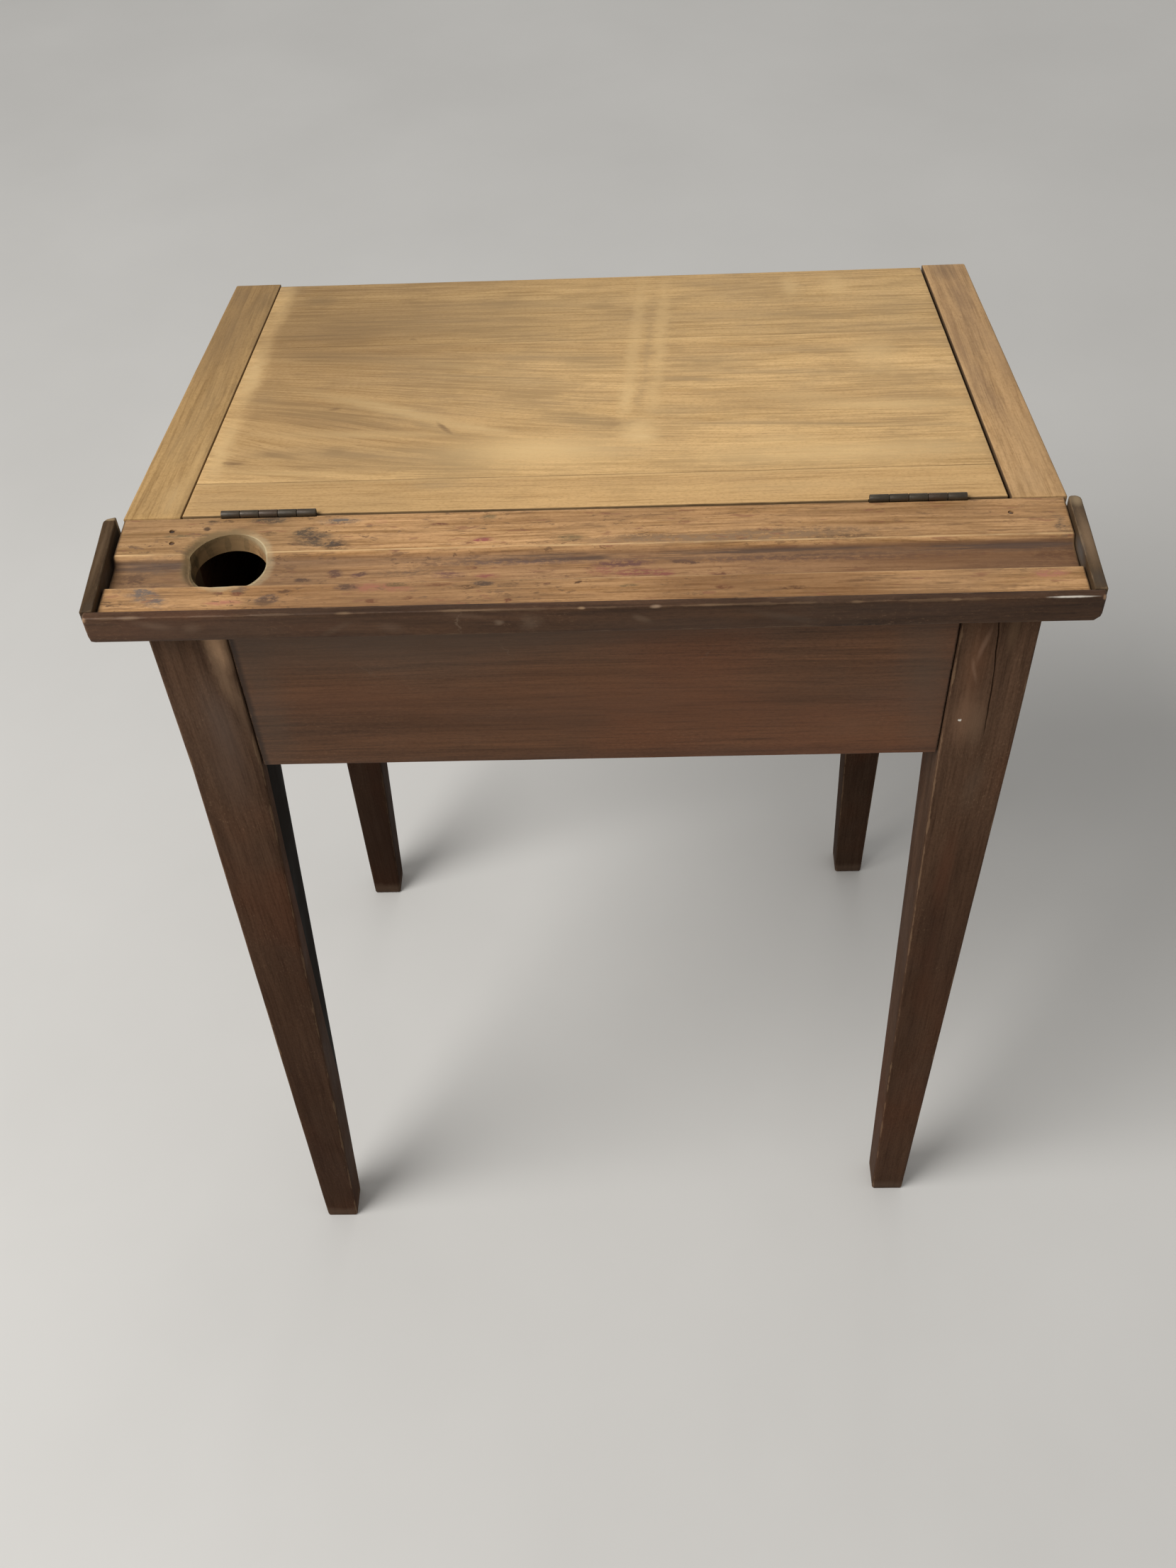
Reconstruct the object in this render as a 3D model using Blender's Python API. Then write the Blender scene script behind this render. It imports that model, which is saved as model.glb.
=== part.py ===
"""Old single-seat school desk with a lift-up lid.

Units are metres, +Z is up. The ledge with the pencil groove (the back of the
desk) faces -Y, the low edge of the sloping lid (the pupil's side) faces +Y,
and +X is to the right for someone who looks along +Y at the ledge.

All the dimensions below are in the desk's own measuring frame: Y = 0 is the
outer face of the back legs, X = 0 is the middle of the leg frame, Z = 0 is the
floor. Everything hangs on an empty that carries the measuring frame to the
model's frame, whose origin is the centre of the bounding box on the floor.
"""
import bpy
import bmesh
from math import sin, cos, tan, atan2, pi, radians
from mathutils import Vector

# ---------------------------------------------------------------- clean start
for ob in list(bpy.data.objects):
    bpy.data.objects.remove(ob, do_unlink=True)

# ---------------------------------------------------------- driving dimensions
GAP = 0.0003            # fit between neighbouring pieces
T = 0.0125              # thickness of ledge, side boards and lid boards

# legs
LEG_X = 0.2273          # outer faces of the legs
LEG_Y1 = 0.3540         # outer face of the front (far) legs, back legs are at 0
LEG_TOP = 0.0400        # square section above the taper
LEG_FOOT = 0.0240       # square section on the floor
Z_APRON = 0.5384        # lower edge of the aprons, where the tapers start
# the old frame has racked a little: each foot stands off its plumb line
FOOT_SHIFT = {
    "back_left": (-0.0100, -0.0080),
    "back_right": (-0.0005, 0.0110),
    "front_left": (-0.0030, -0.0120),
    "front_right": (-0.0010, 0.0040),
}

# top
Z_LEDGE = 0.6657        # upper face of the level ledge
Y_JOINT = 0.0641        # hinge line
SLOPE = atan2(0.6657 - 0.6088, 0.3761 - 0.0641)   # fall of the lid, about 10.3 degrees
LEDGE_X = (-0.2450, 0.2447)        # ends of the ledge
LEDGE_Y0 = -0.0112      # back edge of the ledge
SIDE_XL = (-0.2460, -0.2152)
SIDE_XR = (0.2176, 0.2465)
SIDE_S = 0.3195         # length of the side boards down the slope
LID_X = (-0.2147, 0.2163)
LID_S = (0.0360, 0.2130, 0.3152)   # glue lines and free edge, measured down the slope
GROOVE_Y = (0.0100, 0.0340)
GROOVE_DEPTH = 0.0050
WELL_C = (-0.1860, 0.0300)         # inkwell hole
WELL_R = 0.0208
WELL_Z = 0.6212                    # floor of the bore in leg and apron

# lipping strips
LIP_T = 0.0052          # back strip
END_T = 0.0066          # the two end strips
LIP_TOP = 0.6697
LIP_BOTTOM = 0.6532
LIP_BACK_X = 0.2505
LIP_LENGTH = (0.0726, 0.0712)   # left and right end strip
LIP_SPLAY = radians(2.0)   # the left strip has sprung away from the ledge

# aprons
APRON_T = 0.0180
APRON_INSET_Y = 0.0015
APRON_INSET_X = 0.0030
TENON_T = 0.0080
TENON_X = 0.0200        # length of the tenons of the back and front aprons
TENON_Y = 0.0180        # length of the tenons of the side aprons

# book compartment
FLOOR_Z = 0.5560
FLOOR_T = 0.0070
CLEAT = 0.0120

# hinges
HINGE_X = (-0.1683, 0.1698)
HINGE_L = 0.0500
AXIS_Z = 0.6669
BARREL_R = 0.0020
BORE_R = 0.0012
PIN_R = 0.0011
LEAF_T = 0.0011
LEAF_BOTTOM = Z_LEDGE - 0.0115
SCREW_Z = Z_LEDGE - 0.0064

# lid battens
BATTEN_X = (-0.1500, 0.1500)
BATTEN_W = 0.0300
BATTEN_T = 0.0120
BATTEN_S = (0.0200, 0.2620)
BATTEN_SCREWS = (0.0275, 0.0800, 0.1750, 0.2450)

Z_UNDER = Z_LEDGE - T - GAP       # top of whatever carries the ledge


def end_lip_plan(sx):
    """Outline of an end strip from above; u runs along it from the back strip, v
    outwards. The left one is cut off askew at its free end, the right one is rounded."""
    if sx < 0:
        length, splay, x0 = LIP_LENGTH[0], LIP_SPLAY, LEDGE_X[0]
        end = [(length, 0), (length - 0.0012, 0.0045), (length - 0.0040, END_T)]
    else:
        length, splay, x0 = LIP_LENGTH[1], 0.0, LEDGE_X[1]
        end = [(length - 0.0018, 0), (length, 0.0018), (length, 0.0040), (length - 0.0034, END_T)]
    return [(x0 + sx * (GAP + u * sin(splay) + v * cos(splay)), LEDGE_Y0 + u * cos(splay) - v * sin(splay))
            for u, v in [(0, 0)] + end + [(0, END_T)]]


# bounding box, so that the origin can sit at its centre
X_MIN = min(x for x, y in end_lip_plan(-1))
X_MAX = max(x for x, y in end_lip_plan(1))
Y_MIN = LEDGE_Y0 - GAP - LIP_T
Y_MAX = Y_JOINT + SIDE_S * cos(SLOPE)
OFFSET = Vector((-(X_MIN + X_MAX) / 2, -(Y_MIN + Y_MAX) / 2, 0.0))


def lid_z(y):
    """Height of the sloping upper surface at depth y."""
    return Z_LEDGE - (y - Y_JOINT) * tan(SLOPE)


def under_z(y):
    """Top of a piece that carries the sloping boards at depth y."""
    if y <= Y_JOINT:
        return Z_UNDER
    return min(Z_UNDER, lid_z(y) - T / cos(SLOPE) - GAP)


def on_slope(s, n):
    """(y, z) of a point s down the slope from the hinge line, n above it."""
    return (Y_JOINT + s * cos(SLOPE) + n * sin(SLOPE),
            Z_LEDGE - s * sin(SLOPE) + n * cos(SLOPE))


# ------------------------------------------------------------------- materials
def material(name, color, roughness, metallic=0.0):
    mat = bpy.data.materials.new(name)
    mat.use_nodes = True
    bsdf = mat.node_tree.nodes["Principled BSDF"]
    bsdf.inputs["Base Color"].default_value = (*color, 1.0)
    bsdf.inputs["Roughness"].default_value = roughness
    bsdf.inputs["Metallic"].default_value = metallic
    mat.diffuse_color = (*color, 1.0)
    return mat


COLORS = {
    "sanded": ((0.52, 0.35, 0.17), 0.55, 0.0),
    "sanded_brown": ((0.40, 0.25, 0.13), 0.55, 0.0),
    "stained": ((0.10, 0.050, 0.030), 0.45, 0.0),
    "stained_apron": ((0.12, 0.060, 0.038), 0.50, 0.0),
    "stained_lip": ((0.09, 0.060, 0.040), 0.55, 0.0),
    "raw": ((0.34, 0.23, 0.13), 0.70, 0.0),
    "iron": ((0.10, 0.095, 0.085), 0.50, 0.85),
}

# --------------------------------------------------------------- scene helpers
scene_root = bpy.context.scene.collection


def empty(name, location, parent=None):
    ob = bpy.data.objects.new(name, None)
    ob.empty_display_size = 0.03
    scene_root.objects.link(ob)
    ob.parent = parent
    ob.location = location
    return ob


desk = empty("desk_frame", OFFSET)
lid_axis = empty("lid_axis", (0.0, Y_JOINT, AXIS_Z), desk)
PIVOT = {desk: Vector((0, 0, 0)), lid_axis: Vector((0.0, Y_JOINT, AXIS_Z))}


def add(name, verts, faces, finish=None, parent=None, smooth=False):
    """One object from vertices given in the measuring frame."""
    parent = parent or desk
    mesh = bpy.data.meshes.new(name)
    pivot = PIVOT[parent]
    mesh.from_pydata([tuple(Vector(v) - pivot) for v in verts], [], faces)
    mesh.validate()
    bm = bmesh.new()
    bm.from_mesh(mesh)
    bmesh.ops.recalc_face_normals(bm, faces=bm.faces)
    if bm.calc_volume(signed=True) < 0:
        bmesh.ops.reverse_faces(bm, faces=bm.faces)
    bm.to_mesh(mesh)
    bm.free()
    if smooth:
        mesh.shade_smooth()
        mesh.set_sharp_from_angle(angle=radians(35))
    ob = bpy.data.objects.new(name, mesh)
    scene_root.objects.link(ob)
    ob.parent = parent
    if finish:
        color, rough, metal = COLORS[finish]
        mesh.materials.append(material(name + "_finish", color, rough, metal))
    return ob


def prism(name, poly, axis, a, b, finish=None, parent=None):
    """A polygon pushed along an axis; poly holds the other two coordinates in X, Y, Z order."""
    def point(p, t):
        if axis == "X":
            return (t, p[0], p[1])
        if axis == "Y":
            return (p[0], t, p[1])
        return (p[0], p[1], t)
    n = len(poly)
    verts = [point(p, a) for p in poly] + [point(p, b) for p in poly]
    faces = [tuple(range(n)), tuple(range(2 * n - 1, n - 1, -1))]
    faces += [(i, (i + 1) % n, n + (i + 1) % n, n + i) for i in range(n)]
    return add(name, verts, faces, finish, parent)


def box(name, x, y, z, finish=None, parent=None):
    return prism(name, [(x[0], y[0]), (x[1], y[0]), (x[1], y[1]), (x[0], y[1])], "Z", z[0], z[1], finish, parent)


def slope_box(name, x, s, n, finish=None, parent=None):
    """A box that lies on the slope: s down it, n along its normal."""
    poly = [on_slope(s[0], n[0]), on_slope(s[1], n[0]), on_slope(s[1], n[1]), on_slope(s[0], n[1])]
    return prism(name, poly, "X", x[0], x[1], finish, parent)


def turned(name, profile, segments, origin, direction, finish=None, parent=None):
    """A round piece: profile holds (distance along direction, radius), both ends on the axis."""
    d = Vector(direction).normalized()
    side = Vector((1, 0, 0)) if abs(d.x) < 0.9 else Vector((0, 1, 0))
    u = d.cross(side).normalized()
    v = d.cross(u)
    o = Vector(origin)
    verts, rings = [], []
    for along, radius in profile:
        if radius < 1e-9:
            rings.append([len(verts)])
            verts.append(tuple(o + d * along))
        else:
            ring = []
            for k in range(segments):
                a = 2 * pi * (k + 0.5) / segments
                ring.append(len(verts))
                verts.append(tuple(o + d * along + (u * cos(a) + v * sin(a)) * radius))
            rings.append(ring)
    faces = []
    for r0, r1 in zip(rings, rings[1:]):
        for k in range(segments):
            k2 = (k + 1) % segments
            if len(r0) == 1:
                faces.append((r0[0], r1[k2], r1[k]))
            elif len(r1) == 1:
                faces.append((r0[k], r0[k2], r1[0]))
            else:
                faces.append((r0[k], r0[k2], r1[k2], r1[k]))
    return add(name, verts, faces, finish, parent, smooth=True)


def tool(ob):
    """Marks an object as a cutter."""
    ob.hide_render = True
    ob.display_type = "WIRE"
    return ob


def boolean(target, other, operation="DIFFERENCE"):
    mod = target.modifiers.new(operation.lower() + "_" + other.name, "BOOLEAN")
    mod.operation = operation
    mod.solver = "EXACT"
    mod.object = other
    return mod


# ------------------------------------------------------------------------ legs
def leg(key, sx, back):
    """Square leg: straight where the aprons join, then tapered on its two inner
    faces down to the foot. The outer edge is kept plumb but for the foot's shift."""
    y_out = 0.0 if back else LEG_Y1
    sy = 1 if back else -1            # towards the middle of the desk
    dx, dy = FOOT_SHIFT[key]

    def square(cx, cy, w, z):
        xs = (cx, cx - sx * w)
        ys = (cy, cy + sy * w)
        pts = [(xs[0], ys[0]), (xs[1], ys[0]), (xs[1], ys[1]), (xs[0], ys[1])]
        return [(p[0], p[1], z if not callable(z) else z(p[1])) for p in pts]

    rings = [square(sx * LEG_X + dx, y_out + dy, LEG_FOOT, 0.0),
             square(sx * LEG_X, y_out, LEG_TOP, Z_APRON),
             square(sx * LEG_X, y_out, LEG_TOP, under_z)]
    verts = [p for r in rings for p in r]
    faces = [(0, 1, 2, 3), (11, 10, 9, 8)]
    for r in (0, 4):
        for i in range(4):
            faces.append((r + i, r + (i + 1) % 4, r + 4 + (i + 1) % 4, r + 4 + i))
    ob = add("leg_" + key, verts, faces, "stained")

    # mortise for the back or front apron, cut into the face that looks across the desk
    y_a = (APRON_INSET_Y + (APRON_T - TENON_T) / 2, APRON_INSET_Y + (APRON_T + TENON_T) / 2)
    if not back:
        y_a = (LEG_Y1 - y_a[1], LEG_Y1 - y_a[0])
    x_in = LEG_X - LEG_TOP
    z_top = tenon_top(back)
    c = tool(box("mortise_x_" + key, sorted((sx * (x_in - 0.002), sx * (x_in + TENON_X + GAP))),
                 (y_a[0] - GAP, y_a[1] + GAP), (Z_APRON + 0.010 - GAP, z_top + GAP)))
    boolean(ob, c)
    # mortise for the side apron
    xc = LEG_X - APRON_INSET_X - APRON_T / 2
    y_in = y_out + sy * LEG_TOP
    c = tool(box("mortise_y_" + key, sorted((sx * (xc - TENON_T / 2 - GAP), sx * (xc + TENON_T / 2 + GAP))),
                 sorted((y_in + sy * 0.002, y_in - sy * (TENON_Y + GAP))),
                 (Z_APRON + 0.010 - GAP, z_top + GAP)))
    boolean(ob, c)
    return ob


def tenon_top(back):
    """The tenons stop short of the leg's top, so that the leg keeps its end."""
    return 0.6180 if back else 0.5880


legs = {
    "back_left": leg("back_left", -1, True),
    "back_right": leg("back_right", 1, True),
    "front_left": leg("front_left", -1, False),
    "front_right": leg("front_right", 1, False),
}

# ---------------------------------------------------------------------- aprons
X_IN = LEG_X - LEG_TOP - GAP          # shoulder of the back and front aprons


def cross_apron(name, back):
    if back:
        y0, y1 = APRON_INSET_Y, APRON_INSET_Y + APRON_T
    else:
        y0, y1 = LEG_Y1 - APRON_INSET_Y - APRON_T, LEG_Y1 - APRON_INSET_Y
    poly = [(y0, Z_APRON), (y1, Z_APRON), (y1, under_z(y1)), (y0, under_z(y0))]
    ob = prism(name, poly, "X", -X_IN, X_IN, "stained_apron")
    yc = (y0 + y1) / 2
    for side, sx in (("left", -1), ("right", 1)):
        t = tool(box(name + "_tenon_" + side, sorted((sx * (X_IN - 0.010), sx * (LEG_X - LEG_TOP + TENON_X - GAP))),
                     (yc - TENON_T / 2, yc + TENON_T / 2), (Z_APRON + 0.010, tenon_top(back))))
        boolean(ob, t, "UNION")
    return ob


def side_apron(name, sx):
    x0, x1 = sorted((sx * (LEG_X - APRON_INSET_X), sx * (LEG_X - APRON_INSET_X - APRON_T)))
    y0, y1 = LEG_TOP + GAP, LEG_Y1 - LEG_TOP - GAP
    y_bend = Y_JOINT + 0.0002
    poly = [(y0, Z_APRON), (y1, Z_APRON), (y1, under_z(y1)), (y_bend, under_z(y_bend)), (y0, under_z(y0))]
    ob = prism(name, poly, "X", x0, x1, "stained")
    xc = (x0 + x1) / 2
    for end, back in (("back", True), ("front", False)):
        if back:
            ys = (LEG_TOP - TENON_Y + GAP, y0 + 0.010)
        else:
            ys = (y1 - 0.010, LEG_Y1 - LEG_TOP + TENON_Y - GAP)
        t = tool(box(name + "_tenon_" + end, (xc - TENON_T / 2, xc + TENON_T / 2), ys,
                     (Z_APRON + 0.010, tenon_top(back))))
        boolean(ob, t, "UNION")
    return ob


apron_back = cross_apron("apron_back", True)
apron_front = cross_apron("apron_front", False)
apron_left = side_apron("apron_left", -1)
apron_right = side_apron("apron_right", 1)

# ------------------------------------------------- floor of the book compartment
INNER_X = LEG_X - APRON_INSET_X - APRON_T           # inner faces of the side aprons
INNER_Y0 = APRON_INSET_Y + APRON_T                  # inner face of the back apron
INNER_Y1 = LEG_Y1 - APRON_INSET_Y - APRON_T         # inner face of the front apron
for side, sx in (("left", -1), ("right", 1)):
    box("bottom_cleat_" + side, sorted((sx * (INNER_X - GAP), sx * (INNER_X - GAP - CLEAT))),
        (LEG_TOP + 2 * GAP, LEG_Y1 - LEG_TOP - 2 * GAP), (FLOOR_Z - GAP - CLEAT, FLOOR_Z - GAP), "raw")

board_y = [INNER_Y0 + 0.0005 + k * (INNER_Y1 - INNER_Y0 - 0.0010) / 3 for k in range(4)]
notch = []
for key, sx, back in (("bl", -1, True), ("br", 1, True), ("fl", -1, False), ("fr", 1, False)):
    ys = (0.0, LEG_TOP + 0.0008) if back else (LEG_Y1 - LEG_TOP - 0.0008, LEG_Y1)
    notch.append(tool(box("floor_notch_" + key, sorted((sx * (LEG_X - LEG_TOP - 0.0008), sx * LEG_X)), ys,
                          (FLOOR_Z - 0.005, FLOOR_Z + FLOOR_T + 0.005))))
for k, part in enumerate(("back", "middle", "front")):
    ob = box("bottom_board_" + part, (-INNER_X + 0.0006, INNER_X - 0.0006),
             (board_y[k] + 0.0002, board_y[k + 1] - 0.0002), (FLOOR_Z, FLOOR_Z + FLOOR_T), "raw")
    if part == "back":
        boolean(ob, notch[0])
        boolean(ob, notch[1])
    if part == "front":
        boolean(ob, notch[2])
        boolean(ob, notch[3])

# ----------------------------------------------------------------------- ledge
JOINT_GAP = 0.0007                   # wood to hinge line, on each side
g0, g1 = GROOVE_Y
ledge_profile = [
    (LEDGE_Y0, LIP_BOTTOM), (Y_JOINT - JOINT_GAP, LIP_BOTTOM),
    (Y_JOINT - JOINT_GAP, Z_LEDGE),
    (g1, Z_LEDGE),                                   # groove: steep far wall,
    (g1 - 0.0022, Z_LEDGE - GROOVE_DEPTH * 0.86),    # hollow bottom, short near wall
    (g1 - 0.0065, Z_LEDGE - GROOVE_DEPTH),
    (g0 + 0.0060, Z_LEDGE - GROOVE_DEPTH),
    (g0 + 0.0016, Z_LEDGE - GROOVE_DEPTH * 0.80),
    (g0, Z_LEDGE),
    (LEDGE_Y0, Z_LEDGE),
]
ledge = prism("ledge_board", ledge_profile, "X", LEDGE_X[0], LEDGE_X[1], "sanded")
well = tool(turned("inkwell_bore", [(0, 0), (0, WELL_R), (0.060, WELL_R), (0.060, 0)], 40,
                   (WELL_C[0], WELL_C[1], WELL_Z), (0, 0, 1)))
boolean(ledge, well)
boolean(legs["back_left"], well)
boolean(apron_back, well)

# ----------------------------------------------------------------- side boards
y_near = Y_JOINT - GAP
side_profile = [(y_near, lid_z(y_near) - T / cos(SLOPE)), on_slope(SIDE_S, -T), on_slope(SIDE_S, 0), (y_near, lid_z(y_near))]
side_left = prism("side_board_left", side_profile, "X", SIDE_XL[0], SIDE_XL[1], "sanded")
side_right = prism("side_board_right", side_profile, "X", SIDE_XR[0], SIDE_XR[1], "sanded_brown")

# --------------------------------------------------------------- lipping strips
box("lip_back", (-LIP_BACK_X, LIP_BACK_X), (LEDGE_Y0 - GAP - LIP_T, LEDGE_Y0 - GAP), (LIP_BOTTOM, LIP_TOP), "stained_lip")
prism("lip_left", end_lip_plan(-1), "Z", LIP_BOTTOM, LIP_TOP, "stained_lip")
prism("lip_right", end_lip_plan(1), "Z", LIP_BOTTOM, LIP_TOP, "stained_lip")

# ------------------------------------------------------------------------- lid
y_rear = Y_JOINT + JOINT_GAP
s1, s2, s3 = LID_S
n0 = -T
lid_back = prism("lid_board_back", [(y_rear, lid_z(y_rear) - T / cos(SLOPE)), on_slope(s1 - GAP / 2, n0),
                                    on_slope(s1 - GAP / 2, 0), (y_rear, lid_z(y_rear))],
                 "X", LID_X[0], LID_X[1], "sanded", lid_axis)
lid_middle = slope_box("lid_board_middle", LID_X, (s1 + GAP / 2, s2 - GAP / 2), (n0, 0), "sanded", lid_axis)
lid_front = slope_box("lid_board_front", LID_X, (s2 + GAP / 2, s3), (n0, 0), "sanded", lid_axis)
battens = {}
for side, xc in zip(("left", "right"), BATTEN_X):
    battens[side] = slope_box("lid_batten_" + side, (xc - BATTEN_W / 2, xc + BATTEN_W / 2), BATTEN_S,
                              (n0 - GAP - BATTEN_T, n0 - GAP), "raw", lid_axis)

# batten screws: countersunk from below, stopping short of the writing surface
up = Vector((0.0, sin(SLOPE), cos(SLOPE)))
for side, xc in zip(("left", "right"), BATTEN_X):
    for k, s in enumerate(BATTEN_SCREWS):
        y, z = on_slope(s, n0 - GAP - BATTEN_T)
        name = "lid_screw_%s_%d" % (side, k + 1)
        turned(name, [(0.0003, 0), (0.0003, 0.0027), (0.0020, 0.0013), (0.0150, 0.0013), (0.0185, 0.0003), (0.0185, 0)],
               8, (xc, y, z), up, "iron", lid_axis)
        c = tool(turned(name + "_hole", [(-0.002, 0), (-0.002, 0.0031), (0.0003, 0.0031), (0.0022, 0.0016),
                                         (0.0190, 0.0016), (0.0190, 0)], 8, (xc, y, z), up, None, lid_axis))
        boolean(battens[side], c)
        boolean(lid_back if s < s1 else lid_middle if s < s2 else lid_front, c)

# ---------------------------------------------------------------------- hinges
KNUCKLE = HINGE_L / 5


def leaf(name, hx, sy, own, parent, finish="iron"):
    """One leaf: an upright plate in the joint, with knuckles rolled round the pin.
    own lists which of the five knuckles belong to this leaf."""
    x0 = hx - HINGE_L / 2
    top_in, top_out = AXIS_Z - BORE_R - 0.0001, AXIS_Z - BARREL_R - 0.0004
    outline = [(x0 + 0.0001, LEAF_BOTTOM)]
    outline.append((x0 + HINGE_L - 0.0001, LEAF_BOTTOM))
    for k in range(4, -1, -1):
        z = top_in if k in own else top_out
        a, b = x0 + k * KNUCKLE, x0 + (k + 1) * KNUCKLE
        inset = 0.0003 if k in own else -0.0003
        hi = b - inset if k < 4 else b - 0.0001
        lo = a + inset if k > 0 else a + 0.0001
        outline.append((hi, z))
        outline.append((lo, z))
    y_face = Y_JOINT + sy * 0.0002
    ys = sorted((y_face, y_face + sy * LEAF_T))
    ob = prism(name, outline, "Y", ys[0], ys[1], finish, parent)
    for k in own:
        a = x0 + k * KNUCKLE + (0.00015 if k else 0.0)
        b = x0 + (k + 1) * KNUCKLE - (0.00015 if k < 4 else 0.0)
        c = tool(turned("%s_knuckle_%d" % (name, k + 1), [(0, 0), (0, BARREL_R), (b - a, BARREL_R), (b - a, 0)], 20,
                        (a, Y_JOINT, AXIS_Z), (1, 0, 0), None, parent))
        boolean(ob, c, "UNION")
    bore = tool(turned(name + "_bore", [(0, 0), (0, BORE_R), (HINGE_L + 0.004, BORE_R), (HINGE_L + 0.004, 0)], 16,
                       (x0 - 0.002, Y_JOINT, AXIS_Z), (1, 0, 0), None, parent))
    boolean(ob, bore)
    return ob


def hinge_screw(name, x, sy, plate, wood, parent):
    """Countersunk wood screw through a leaf into the edge of the board."""
    o = (x, Y_JOINT + sy * 0.0002, SCREW_Z)
    d = (0, sy, 0)
    turned(name, [(0.0001, 0), (0.0001, 0.0021), (0.0012, 0.0010), (0.0085, 0.0010), (0.0115, 0.0002), (0.0115, 0)],
           8, o, d, "iron", parent)
    c = tool(turned(name + "_hole", [(-0.0005, 0), (-0.0005, 0.0027), (0.0000, 0.0025), (0.0012, 0.0013),
                                     (0.0120, 0.0013), (0.0120, 0)], 8, o, d, None, parent))
    boolean(plate, c)
    boolean(wood, c)


for side, hx in zip(("left", "right"), HINGE_X):
    fixed = leaf("hinge_leaf_fixed_" + side, hx, -1, (0, 2, 4), desk)
    moving = leaf("hinge_leaf_moving_" + side, hx, 1, (1, 3), lid_axis)
    # pin, slightly domed at both ends
    turned("hinge_pin_" + side, [(0, 0), (0.0, 0.0006), (0.0004, PIN_R), (HINGE_L - 0.0004, PIN_R),
                                 (HINGE_L, 0.0006), (HINGE_L, 0)], 12, (hx - HINGE_L / 2, Y_JOINT, AXIS_Z), (1, 0, 0), "iron", desk)
    # seats in the edges of ledge and lid: one for the leaf, one for the barrel
    seat_x = (hx - HINGE_L / 2 - 0.0004, hx + HINGE_L / 2 + 0.0004)
    y_in = LEAF_T + 0.0002 + GAP
    seat_f = tool(box("seat_fixed_" + side, seat_x, (Y_JOINT - y_in, Y_JOINT + 0.0001), (LEAF_BOTTOM - GAP, Z_LEDGE + 0.001)))
    seat_m = tool(box("seat_moving_" + side, seat_x, (Y_JOINT - 0.0001, Y_JOINT + y_in), (LEAF_BOTTOM - GAP, Z_LEDGE + 0.001), None, lid_axis))
    barrel = tool(turned("seat_barrel_" + side, [(0, 0), (0, BARREL_R + 0.0004), (seat_x[1] - seat_x[0], BARREL_R + 0.0004),
                                                 (seat_x[1] - seat_x[0], 0)], 20, (seat_x[0], Y_JOINT, AXIS_Z), (1, 0, 0)))
    boolean(ledge, seat_f)
    boolean(ledge, barrel)
    boolean(lid_back, seat_m)
    boolean(lid_back, barrel)
    for k, dx in enumerate((-0.0165, 0.0, 0.0165)):
        hinge_screw("hinge_screw_fixed_%s_%d" % (side, k + 1), hx + dx, -1, fixed, ledge, desk)
        hinge_screw("hinge_screw_moving_%s_%d" % (side, k + 1), hx + dx, 1, moving, lid_back, lid_axis)

# ----------------------------------------------------------------------- nails
NAIL = [(0, 0), (0, 0.0015), (0.0007, 0.0015), (0.0009, 0.0008), (0.0270, 0.0008), (0.0290, 0.0002), (0.0290, 0)]


def nail(name, origin, direction, sunk, *wood):
    """Wire nail: its head lies sunk below the surface at origin."""
    d = Vector(direction).normalized()
    o = Vector(origin) + d * sunk
    turned(name, NAIL, 8, o, d, "iron")
    c = tool(turned(name + "_hole", [(-0.004, 0), (-0.004, 0.0019), (0.0010, 0.0019), (0.0013, 0.0012),
                                     (0.0295, 0.0012), (0.0295, 0)], 8, o, d))
    for w in wood:
        boolean(w, c)


nail("ledge_nail_left_1", (-0.2178, 0.0531, Z_LEDGE), (0, 0, -1), 0.0004, ledge, apron_left)
nail("ledge_nail_left_2", (-0.2162, 0.0436, Z_LEDGE), (0, 0, -1), 0.0004, ledge, apron_left)
nail("ledge_nail_right_1", (0.2154, 0.0519, Z_LEDGE), (0, 0, -1), 0.0004, ledge, apron_right)
for side, x, board, apron, post in (("left", -0.2200, side_left, apron_left, legs["front_left"]),
                                    ("right", 0.2212, side_right, apron_right, legs["front_right"])):
    for k, (s, wood) in enumerate(((0.035, apron), (0.160, apron), (0.290, post))):
        y, z = on_slope(s, 0)
        nail("side_nail_%s_%d" % (side, k + 1), (x, y, z), (0, -sin(SLOPE), -cos(SLOPE)), 0.0012, board, wood)
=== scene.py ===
"""Old single-seat school desk with a lift-up lid: detailed pieces and materials
around the fixed frame. Metres, +Z up.

Positions below are in the desk's measuring frame (X = 0 in the middle of the leg
frame, Y = 0 at the outer face of the back legs, Z = 0 on the floor); OX and OY
carry them to the frame's own origin.
"""
import bpy
import numpy as np
from math import sin, cos, tan, atan2, pi, radians
from mathutils import Vector, Matrix


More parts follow.
